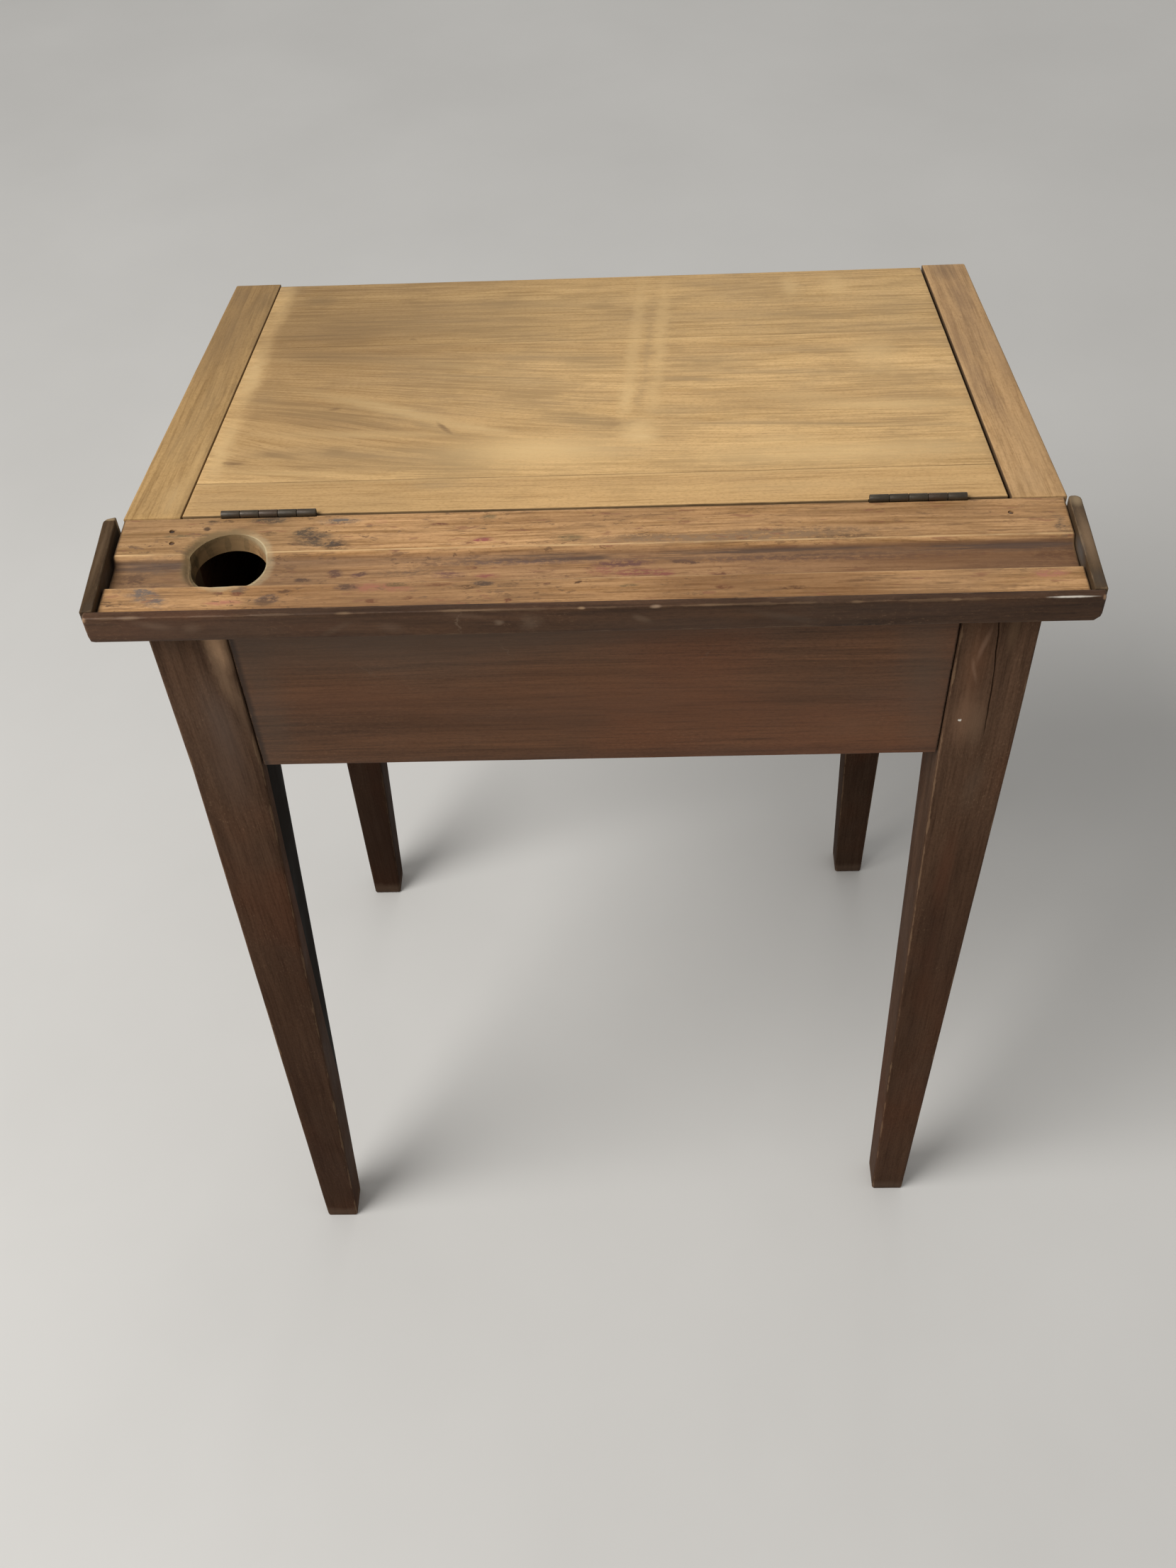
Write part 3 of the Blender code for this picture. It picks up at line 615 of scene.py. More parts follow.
def stained(name, origin=(0, 0, 0), grain="X", seed=0.0, base=(0.095, 0.050, 0.030), deep=(0.034, 0.019, 0.013), red=(0.135, 0.052, 0.028),
            wear=(0.30, 0.185, 0.100), wear_amount=0.35, grey=0.25, greyc=(0.110, 0.080, 0.056), streak=(5, 110, 110), marks=(), extra=None,
            rough=(0.46, 0.66), scratches=0.2, kind="flat", coat=0.0, specular=0.20):
    """Dark stained wood, rubbed: streaks, reddish and grey patches, scratches, pale worn edges."""
    m = Mat(name)
    P = m.coords(kind, origin, grain)
    px, ps, pn = m.split(P)
    w = m.math("SUBTRACT", m.noise(P, (3, 16, 16), 2.0, 0.5, seed + 1), 0.5)
    Q = m.join(px, m.math("MULTIPLY_ADD", w, 0.012, ps), m.math("MULTIPLY_ADD", w, 0.012, pn))
    A = m.noise(Q, streak, 5.0, 0.62, seed + 2)
    B = m.noise(Q, (streak[0] * 0.5, streak[1] * 0.2, streak[2] * 0.2), 3.0, 0.5, seed + 3)
    C = m.noise(Q, (26, 760, 760), 3.0, 0.68, seed + 4)
    t = m.remap(m.math("MULTIPLY_ADD", B, 0.5, m.math("MULTIPLY", A, 0.5)), 0.34, 0.66, 0.0, 1.0, False)
    color = m.ramp(t, [(0.0, deep), (0.45, mixc(deep, base, 0.75)), (1.0, scaled(base, 1.35))])
    color = m.mix(m.remap(m.noise(P, (6, 9, 9), 3.0, 0.55, seed + 5), 0.50, 0.66, 0.0, 0.65), color, red)
    color = m.mix(m.remap(m.noise(P, (8, 13, 13), 4.0, 0.6, seed + 6), 0.50, 0.68, 0.0, grey), color, greyc)
    color = m.mix(1.0, color, m.ramp(C, [(0.25, (0.62, 0.60, 0.58)), (0.5, (1, 1, 1)), (0.75, (1.14, 1.12, 1.10))]), "MULTIPLY")
    # fine rubbed speckle
    S = m.noise(P, (420, 900, 900), 3.0, 0.7, seed + 7)
    rub = m.math("MULTIPLY", m.remap(S, 0.58, 0.72), m.remap(m.noise(P, (14, 22, 22), 3.0, 0.6, seed + 8), 0.45, 0.68))
    color = m.mix(m.math("MULTIPLY", rub, 0.40), color, mixc(base, wear, 0.55))
    color = m.mix(1.0, color, m.ramp(S, [(0.30, (0.80, 0.78, 0.76)), (0.5, (1, 1, 1)), (0.72, (1.12, 1.12, 1.12))]), "MULTIPLY")
    # thin scratches at three slants
    if scratches:
        for k, ang in enumerate((18, -33, 71)):
            n = m.node("ShaderNodeMapping", vector_type="POINT")
            m.put(n.inputs["Vector"], P)
            n.inputs["Rotation"].default_value = (radians(10 * k), radians(-7 * k), radians(ang))
            sc = m.noise(n.outputs[0], (30, 2200, 2200), 1.0, 0.3, seed + 20 + k)
            msk = m.math("MULTIPLY", m.remap(sc, 0.735, 0.775), m.remap(m.noise(P, (11, 17, 17), 2.0, 0.5, seed + 30 + k), 0.56, 0.64))
            color = m.mix(m.math("MULTIPLY", msk, scratches), color, mixc(base, wear, 0.6))
    wob = m.wobble(P, (70, 170, 170), 4.0, 0.72, seed + 9, 1.8)
    if marks:
        color = m.ellipses(color, P, wob, marks)
    if extra:
        color = extra(m, color, P, wob, A, C)
    e = m.attr("edge_mm")
    en = m.noise(P, (45, 120, 120), 4.0, 0.65, seed + 10)
    lim = m.math("MULTIPLY_ADD", en, 7.0, -3.0)
    k = m.remap(m.math("SUBTRACT", lim, e), -0.35, 0.5)
    color = m.mix(m.math("MULTIPLY", k, wear_amount), color, mixc(base, wear, 0.75))
    rg = m.remap(m.noise(P, (12, 20, 20), 4.0, 0.6, seed + 11), 0.35, 0.65, rough[0], rough[1])
    hgt = m.math("ADD", m.math("MULTIPLY", C, 0.6), m.math("MULTIPLY", S, 0.25))
    nrm = m.bump(hgt, 0.40, 0.00022)
    nrm = m.bump(m.noise(P, (35, 90, 90), 3.0, 0.55, seed + 12), 0.25, 0.0012, nrm)
    return m.finish(color, rg, nrm, specular=specular, coat=coat)


def raw(name, origin=(0, 0, 0), grain="X", seed=0.0, kind="flat", base=(0.40, 0.27, 0.145), late=(0.24, 0.145, 0.075), grey=(0.26, 0.21, 0.16)):
    """Unfinished softwood from under the desk: growth bands, saw marks, dust."""
    m = Mat(name)
    P = m.coords(kind, origin, grain)
    px, ps, pn = m.split(P)
    w = m.math("SUBTRACT", m.noise(P, (2.2, 9, 9), 2.0, 0.5, seed + 1), 0.5)
    ry = m.math("ADD", m.math("MULTIPLY_ADD", w, 0.030, ps), 0.020 * ((seed % 5) - 2))
    rz = m.math("ADD", pn, 0.075)
    R = m.math("SQRT", m.math("ADD", m.math("POWER", m.math("ABSOLUTE", ry), 2.0), m.math("POWER", m.math("ABSOLUTE", rz), 2.0)))
    ring = m.math("MULTIPLY_ADD", m.math("SINE", m.math("MULTIPLY", R, 2 * pi / 0.0034)), 0.5, 0.5)
    ring = m.math("POWER", ring, 2.4)
    A = m.noise(P, (7, 190, 190), 5.0, 0.65, seed + 2)
    B = m.noise(P, (5, 9, 9), 4.0, 0.6, seed + 3)
    color = m.mix(m.math("MULTIPLY", ring, 0.55), base, late)
    color = m.mix(1.0, color, m.ramp(A, [(0.3, (0.78, 0.75, 0.72)), (0.5, (1, 1, 1)), (0.75, (1.1, 1.1, 1.1))]), "MULTIPLY")
    color = m.mix(m.remap(B, 0.42, 0.68, 0.0, 0.6), color, grey)
    wob = m.wobble(P, (60, 160, 160), 3.0, 0.7, seed + 5, 1.6)
    saw = m.noise(P, (520, 40, 40), 2.0, 0.5, seed + 6)
    color = m.mix(m.remap(saw, 0.45, 0.7, 0.0, 0.16), color, scaled(base, 0.6))
    e = m.attr("edge_mm")
    color = m.mix(m.remap(e, 1.6, 0.3, 0.0, 0.30), color, scaled(base, 1.25))
    nrm = m.bump(m.math("ADD", m.math("MULTIPLY", saw, 0.6), m.math("MULTIPLY", A, 0.5)), 0.5, 0.00035)
    return m.finish(color, m.remap(A, 0.3, 0.7, 0.74, 0.86), nrm, specular=0.25)


def iron(name, seed=0.0, base=(0.120, 0.108, 0.092), rust=(0.105, 0.058, 0.032), shine=(0.30, 0.285, 0.26), metallic=0.75):
    """Old dark iron: brown bloom, rubbed bright on the high spots."""
    m = Mat(name)
    P = m.coords("flat", (0, 0, 0), "X")
    A = m.noise(P, (90, 260, 260), 5.0, 0.65, seed + 1)
    B = m.noise(P, (40, 60, 60), 4.0, 0.6, seed + 2)
    color = m.ramp(A, [(0.28, scaled(base, 0.55)), (0.5, base), (0.74, mixc(base, shine, 0.45))])
    color = m.mix(m.remap(B, 0.46, 0.66, 0.0, 0.75), color, rust)
    color = m.mix(m.remap(m.noise(P, (300, 900, 900), 2.0, 0.6, seed + 3), 0.60, 0.72, 0.0, 0.35), color, shine)
    rough = m.remap(A, 0.3, 0.7, 0.62, 0.42)
    nrm = m.bump(m.noise(P, (500, 700, 700), 4.0, 0.7, seed + 4), 0.55, 0.00018)
    return m.finish(color, rough, nrm, metallic=metallic, specular=0.5)


# colours of marks left by ink and use
INK, PURPLE, REDP, PINK, REDB = (0.018, 0.018, 0.024), (0.125, 0.058, 0.066), (0.290, 0.085, 0.078), (0.460, 0.190, 0.125), (0.150, 0.055, 0.032)
DKB, GBLUE, GBRN, OLIVE = (0.075, 0.042, 0.024), (0.135, 0.118, 0.108), (0.165, 0.108, 0.066), (0.150, 0.115, 0.058)


def dress(ob, mat, body, slot, *nodes):
    """Gives a piece its material and its body, and hides the nodes that it stands for; slot is not used."""
    ob.data.materials.clear()
    ob.data.materials.append(mat)
    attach(ob, body)
    if nodes:
        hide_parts(*nodes)
    return ob


# ------------------------------------------------------------------------ lid
PALE, PALE2, DUST, DUST2, SOOT = (0.720, 0.500, 0.240), (0.690, 0.470, 0.220), (0.400, 0.275, 0.140), (0.360, 0.240, 0.115), (0.240, 0.150, 0.072)
LID_MARKS = [  # x, s along the slope
    # front board
    (-184, 289, 14, 7, 0, 0.95, DUST2, 0.50), (-118, 246, 86, 22, 0, 0.95, DUST, 0.42), (-172, 229, 26, 7, 0, 0.95, DUST2, 0.50), (-60, 270, 90, 12, 0, 0.95, DUST, 0.30),
    (-115, 221, 2.2, 0.9, 0, 0.7, SOOT, 0.70), (-206, 285, 6, 34, 0, 0.95, PALE, 0.32), (127, 289, 7, 17, 0, 0.9, PALE, 0.36), (157, 290, 9, 17, 0, 0.9, PALE, 0.36),
    (90, 245, 90, 9, 0, 0.95, DUST, 0.25), (186, 250, 22, 34, 0, 0.95, DUST, 0.20), (60, 300, 26, 8, 0, 0.95, DUST, 0.22),
    # middle board, from its far glue line to the near one
    (-168, 197, 36, 11, -8, 0.95, DUST2, 0.52), (-112, 188, 50, 9, -12, 0.95, DUST, 0.40), (0, 178, 24, 12, -12, 0.95, DUST2, 0.40), (-40, 190, 40, 9, -4, 0.95, DUST, 0.35),
    (-60, 160, 46, 4, -12, 0.95, DUST, 0.35), (-80, 178, 40, 3.5, -14, 0.9, PALE2, 0.25), (70, 178, 30, 10, 0, 0.95, DUST, 0.25), (120, 190, 60, 6, -3, 0.95, DUST, 0.25),
    (170, 180, 15, 22, 0, 0.95, PALE, 0.34), (100, 160, 60, 4, -5, 0.9, DUST, 0.32), (60, 152, 30, 3, -8, 0.9, DUST, 0.34),
    (-118, 122, 60, 6.5, -27, 0.95, PALE, 0.60), (-70, 96, 34, 6, -22, 0.95, PALE, 0.45), (-150, 112, 46, 15, -14, 0.95, DUST2, 0.42), (-196, 140, 12, 14, 0, 0.95, DUST, 0.35),
    (-151, 124, 3.6, 1.8, 10, 0.9, SOOT, 0.60), (-84.5, 96, 8.5, 1.7, -57, 0.8, SOOT, 0.70), (-90, 96, 20, 4.0, -35, 0.95, DUST2, 0.45), (-139, 91, 54, 5, -3, 0.95, PALE, 0.50),
    (-125, 66, 72, 9, -5, 0.95, DUST, 0.46), (-120, 52, 66, 7, -2, 0.95, DUST2, 0.42), (-74, 56, 24, 17, 0, 0.95, DUST2, 0.50), (-198, 60, 6, 4, 0, 0.9, SOOT, 0.60),
    (-180, 68, 14, 4, 0, 0.95, DUST2, 0.50), (-143, 72, 5, 5, 0, 0.95, DUST2, 0.40), (-165, 46, 36, 3, -5, 0.9, PALE, 0.40),
    (-208, 176, 6, 42, 0, 0.9, PALE, 0.62), (-208, 78, 6, 36, 0, 0.9, PALE, 0.52),
    (-30, 66, 54, 20, 0, 0.95, PALE, 0.50), (-4, 101, 24, 10, -20, 0.9, DUST2, 0.50), (12, 96, 8, 8, 0, 0.9, SOOT, 0.22), (26, 84, 11, 17, 0, 0.9, PALE, 0.60),
    (45, 112, 22, 8, 0, 0.95, DUST, 0.32), (165, 112, 52, 8, -3, 0.95, PALE, 0.42), (120, 126, 30, 6, -4, 0.9, PALE2, 0.32), (143, 87.5, 34, 3, -4, 0.9, DUST2, 0.46), (196, 84, 20, 3, -4, 0.9, DUST2, 0.40),
    (90, 92, 40, 4, -3, 0.9, DUST, 0.34), (135, 55, 80, 13, 0, 0.95, PALE, 0.46), (105, 72, 26, 6, 0, 0.9, PALE, 0.30), (113, 55, 20, 10, 8, 0.9, PALE, 0.30), (188, 58, 10, 10, 0, 0.95, DUST, 0.24),
    # paired pale bands up the lid
    (25, 215, 4.4, 96, -3.3, 0.9, PALE2, 0.42), (41, 215, 4.6, 96, -3.3, 0.9, PALE2, 0.42), (33, 205, 2.6, 92, -3.3, 0.95, DUST, 0.24), (19, 128, 4.6, 22, -4, 0.9, PALE, 0.46), (35, 130, 4.6, 20, -4, 0.9, PALE2, 0.40),
    (27, 128, 2.6, 20, -4, 0.95, DUST, 0.28),
    # back board
    (-83, 29, 15, 6, 0, 0.95, DUST, 0.34), (-190, 14, 26, 8, 0, 0.95, DUST, 0.18), (120, 18, 90, 6, 0, 0.95, PALE2, 0.18),
]


LID_MARKS = [q[:7] + (min(0.9, q[7] * (1.35 if q[6] in (PALE, PALE2) else 1.45)),) for q in LID_MARKS]
LID_MARKS.sort(key=lambda q: [DUST, DUST2, PALE2, PALE, SOOT].index(q[6]))


def lid_extra(m, color, P, wob, A, C):
    """Fine lines where the three boards are glued; painted shade, with some dirt, on the edges that face the gaps."""
    x, s, n = m.split(P)
    for s0, k in ((LID_S[0], 0.5), (LID_S[1], 0.4)):
        d = m.math("SUBTRACT", m.math("MULTIPLY_ADD", A, 0.0010, s), s0 + 0.0005)
        color = m.mix(m.remap(m.math("ABSOLUTE", m.math("ADD", d, 0.0012)), 0.0026, 0.0003, 0.0, 0.22), color, PALE)
        color = m.mix(m.remap(m.math("ABSOLUTE", m.math("SUBTRACT", s, s0)), 0.0006, 0.00015, 0.0, k), color, SOOT)
    # painted shade, with some dirt, on the edges beside the gaps
    for d, k in ((m.math("SUBTRACT", 0.2162, x), 0.85), (m.math("SUBTRACT", s, 0.00075), 0.85), (m.math("ADD", x, 0.2147), 0.25)):
        color = m.mix(m.remap(d, 0.00062, 0.00022, 0.0, k), color, (0.055, 0.032, 0.018))
    return color


def lid_shade(m, color, P):
    """Painted shade: darker and browner towards the free edge, most of all at its left end, where less light falls;
    darker to the left of the back board.
    """
    x, s, n = m.split(P)
    fx = m.remap(x, -0.215, 0.115)
    ragged = m.math("MULTIPLY_ADD", m.noise(P, (24, 16, 16), 4.0, 0.65, 77.0), 0.026, m.math("SUBTRACT", x, 0.013))
    strip = m.remap(ragged, -0.2085, -0.1960, 0.40, 1.0)
    # painted shade towards the free edge, stronger to the left, sparing the pale strip along the left edge
    k = m.math("MULTIPLY", m.math("MULTIPLY", strip, m.remap(s, 0.02, 0.300)), m.math("MULTIPLY_ADD", fx, -0.36, 0.42))
    color = m.mix(k, color, (0.10, 0.054, 0.018))
    # painted shade: the left part of the lid darker still
    left = m.math("MULTIPLY", m.math("MULTIPLY", strip, m.remap(x, -0.015, -0.170)), m.math("MULTIPLY", m.remap(s, 0.018, 0.060), m.remap(s, 0.330, 0.200, 0.35, 1.0)))
    color = m.mix(m.math("MULTIPLY", left, 0.30), color, (0.130, 0.056, 0.014))
    back = m.math("MULTIPLY", m.remap(s, 0.037, 0.035), m.remap(x, 0.000, -0.140))
    return m.mix(m.math("MULTIPLY", back, 0.24), color, (0.140, 0.082, 0.034))


lid_tools = {}


def lid_board(key, s0, s1, seed, mat_args, rear=False):
    n0 = -T

    def shape(V):
        x, s, n = V[:, 0].copy(), V[:, 1].copy(), V[:, 2]
        if rear:
            s_rear = (JOINT_GAP - n * SN) / CS
            s = s + (s_rear - s0) * (1 - (s - s0) / (s1 - s0))
        # a board that has moved a little over the years
        crown = 0.00022 * np.sin((x / 0.43 + 0.5) * pi) * (n > -T / 2)
        return from_slope(np.stack([x, s, n - crown], 1))

    e0 = s0
    r = ((0.0004, 0.0004), (0.0005 if rear else 0.00012, 0.0013 if key == "front" else 0.00012), (0.0006, 0.0006))
    ob = block("wood_lid_board_" + key, LID_X, (s0, s1), (n0, 0.0), r, (0.0045, 0.0045, 0.004), seed, shape,
               wear=0.0003, dent=0.00012, extra=((), (e0 + 0.002, e0 + 0.004, s1 - 0.002, s1 - 0.004), ()))
    m = sanded("sanded_lid_" + key, "slope", seed=seed * 1.7, bend=(key == "middle"), marks=LID_MARKS, extra=lid_extra, shade=lid_shade, pale=0.2, **mat_args)
    return ob, m


up = Vector((0.0, SN, CS))


def slope_point(s, n):
    return (Y_JOINT + s * CS + n * SN, Z_LEDGE - s * SN + n * CS)


def screw_cut(x, s):
    y, z = slope_point(s, -T - GAP - BATTEN_T)
    return turned_data([(-0.002, 0), (-0.002, 0.0033), (0.0004, 0.0033), (0.0024, 0.0016), (0.0190, 0.0016), (0.0190, 0)], 20, (x, y, z), up)


lid_parts = {}
lid_parts["back"] = lid_board("back", 0.0009, LID_S[0] - GAP / 2, 11, dict(tint=(0.985, 0.935, 0.895), dark=1.025, contrast=0.52, grey=0.24, flecks=0.32, smudge=0.30, fibre=0.95), rear=True)
lid_parts["middle"] = lid_board("middle", LID_S[0] + GAP / 2, LID_S[1] - GAP / 2, 12, dict(tint=(1.0, 0.975, 0.95), dark=1.055, contrast=1.28, grey=0.50, flecks=0.44, smudge=0.68, fibre=1.05))
lid_parts["front"] = lid_board("front", LID_S[1] + GAP / 2, LID_S[2], 13, dict(tint=(0.96, 0.94, 0.915), dark=1.03, contrast=1.05, grey=0.54, flecks=0.44, smudge=0.66, fibre=1.05))

# screw holes for the battens, seats and pilot holes for the hinges
for key, (ob, mat) in lid_parts.items():
    s0, s1 = {"back": (0, LID_S[0]), "middle": (LID_S[0], LID_S[1]), "front": (LID_S[1], LID_S[2])}[key]
    holes = [screw_cut(x, s) for x in BATTEN_X for s in BATTEN_SCREWS if s0 < s < s1]
    tools = [cutter("t_screws_" + key, *holes)] if holes else []
    if key == "back":
        y_in = LEAF_T + 0.0002 + GAP
        seats, barrels, pilots = [], [], []
        for hx in HINGE_X:
            sx = (hx - HINGE_L / 2 - 0.0004, hx + HINGE_L / 2 + 0.0004)
            seats.append(solid_box("", sx, (Y_JOINT - 0.0010, Y_JOINT + y_in), (LEAF_BOTTOM - GAP, Z_LEDGE + 0.001)))
            barrels.append(turned_data([(0, 0), (0, BARREL_R + 0.0004), (sx[1] - sx[0], BARREL_R + 0.0004), (sx[1] - sx[0], 0)], 32,
                                       (sx[0], Y_JOINT, AXIS_Z), (1, 0, 0)))
            for dx in (-0.0165, 0.0, 0.0165):
                pilots.append(turned_data([(0, 0), (0, 0.0013), (0.0120, 0.0013), (0.0120, 0)], 16, (hx + dx, Y_JOINT, SCREW_Z), (0, 1, 0)))
        tools += [cutter("t_seats", *seats), cutter("t_barrels", *barrels), cutter("t_pilots", *pilots)]
    if tools:
        carve(ob, *tools)
    dress(ob, mat, "lid", "pale_top", "lid_board_" + key)

# ---------------------------------------------------------------------- ledge
gy = np.linspace(0.004, 0.040, 721)
gd = np.interp(gy, [G0, G0 + 0.0016, G0 + 0.0060, G1 - 0.0065, G1 - 0.0022, G1], [0, GROOVE_DEPTH * 0.80, GROOVE_DEPTH, GROOVE_DEPTH, GROOVE_DEPTH * 0.86, 0])
kern = np.exp(-0.5 * (np.arange(-24, 25) * (gy[1] - gy[0]) / 0.00038) ** 2)
gd = np.convolve(gd, kern / kern.sum(), mode="same")


def ledge_relief(V, D, edge):
    """The groove and the worn rim of the inkwell hole, pressed into the top of the board."""
    x, y, z = V[:, 0], V[:, 1], V[:, 2]
    wob = 0.00030 * fbm(np.stack([x * 26, y * 0 + 3.1, y * 0], 1), 71, 3)
    depth = np.interp(y + wob, gy, gd, left=0, right=0) * (1 + 0.05 * fbm(np.stack([x * 14, y * 0, y * 0 + 7.7], 1), 72, 2))
    dx, dy = x - WELL_C[0], y - WELL_C[1]
    d = np.hypot(dx, dy) - WELL_R
    a = np.arctan2(dy, dx)
    broad = ((1 + np.cos(a - radians(150))) / 2) ** 1.5
    width = 0.0005 + 0.0034 * broad + 0.0006 * broad * fbm(np.stack([np.cos(a) * 3, np.sin(a) * 3, a * 0], 1), 73, 2)
    rim = (0.00010 + 0.0020 * broad) * np.clip(1 - np.maximum(d, 0) / width, 0, 1) ** 2
    depth = depth + rim
    # shallow wear over the top
    depth = depth + 0.00012 * (1 + fbm(V * np.array([22, 60, 10]), 74, 3)) * (z > Z_LEDGE - 0.002)
    k = (z - LIP_BOTTOM) / (Z_LEDGE - LIP_BOTTOM)
    V = V.copy()
    V[:, 2] = z - depth * np.clip(k, 0, 1)
    return V, edge


ys_fine = np.concatenate([np.arange(0.0088, 0.0125, 0.00030), np.arange(0.0300, 0.0352, 0.00030), np.arange(0.0035, 0.0565, 0.00085)])
xs_fine = np.arange(WELL_C[0] - 0.0290, WELL_C[0] + 0.0290, 0.00085)
ledge = block("wood_ledge_board", LEDGE_X, (LEDGE_Y0, Y_JOINT - JOINT_GAP), (LIP_BOTTOM, Z_LEDGE), ((0.0007, 0.0008), (0.00025, 0.0007), (0.0006, 0.0007)),
              (0.0040, 0.0030, 0.0035), 21, before=ledge_relief, wear=0.0004, dent=0.00004, extra=(xs_fine, ys_fine, ()))
seats, barrels, pilots = [], [], []
for hx in HINGE_X:
    sx = (hx - HINGE_L / 2 - 0.0004, hx + HINGE_L / 2 + 0.0004)
    y_in = LEAF_T + 0.0002 + GAP
    seats.append(solid_box("", sx, (Y_JOINT - y_in, Y_JOINT + 0.0010), (LEAF_BOTTOM - GAP, Z_LEDGE + 0.001)))
    barrels.append(turned_data([(0, 0), (0, BARREL_R + 0.0004), (sx[1] - sx[0], BARREL_R + 0.0004), (sx[1] - sx[0], 0)], 32, (sx[0], Y_JOINT, AXIS_Z), (1, 0, 0)))
    for dx in (-0.0165, 0.0, 0.0165):
        pilots.append(turned_data([(0, 0), (0, 0.0013), (0.0120, 0.0013), (0.0120, 0)], 16, (hx + dx, Y_JOINT, SCREW_Z), (0, -1, 0)))
NAILS = {"ledge_nail_left_1": (-0.2178, 0.0531), "ledge_nail_left_2": (-0.2162, 0.0436), "ledge_nail_right_1": (0.2154, 0.0519)}
nail_holes = [turned_data([(-0.004, 0), (-0.004, 0.0015), (0.0014, 0.0015), (0.0017, 0.0012), (0.0295, 0.0012), (0.0295, 0)], 20, (x, y, Z_LEDGE), (0, 0, -1))
              for x, y in NAILS.values()]
well_v, well_f = turned_data([(0, 0), (0, 1.0), (0.0440, 1.0), (0.0478, 1.0), (0.0600, 1.0), (0.0600, 0)], 96, (0, 0, WELL_Z - 0.0120), (0, 0, 1))
well_t = np.clip((Z_LEDGE - well_v[:, 2]) / (Z_LEDGE - LIP_BOTTOM), 0, 1)[:, None]      # 0 at the top of the board, 1 at its underside
well_v[:, :2] = well_v[:, :2] * (WELL_R + (0.0187 - WELL_R) * well_t) + np.array(WELL_C) + np.array([0.0003, 0.0021]) * well_t
well = (well_v, well_f)
carve(ledge, cutter("t_well", well), cutter("t_seats", *seats), cutter("t_barrels", *barrels), cutter("t_pilots", *pilots), cutter("t_nails", *nail_holes))

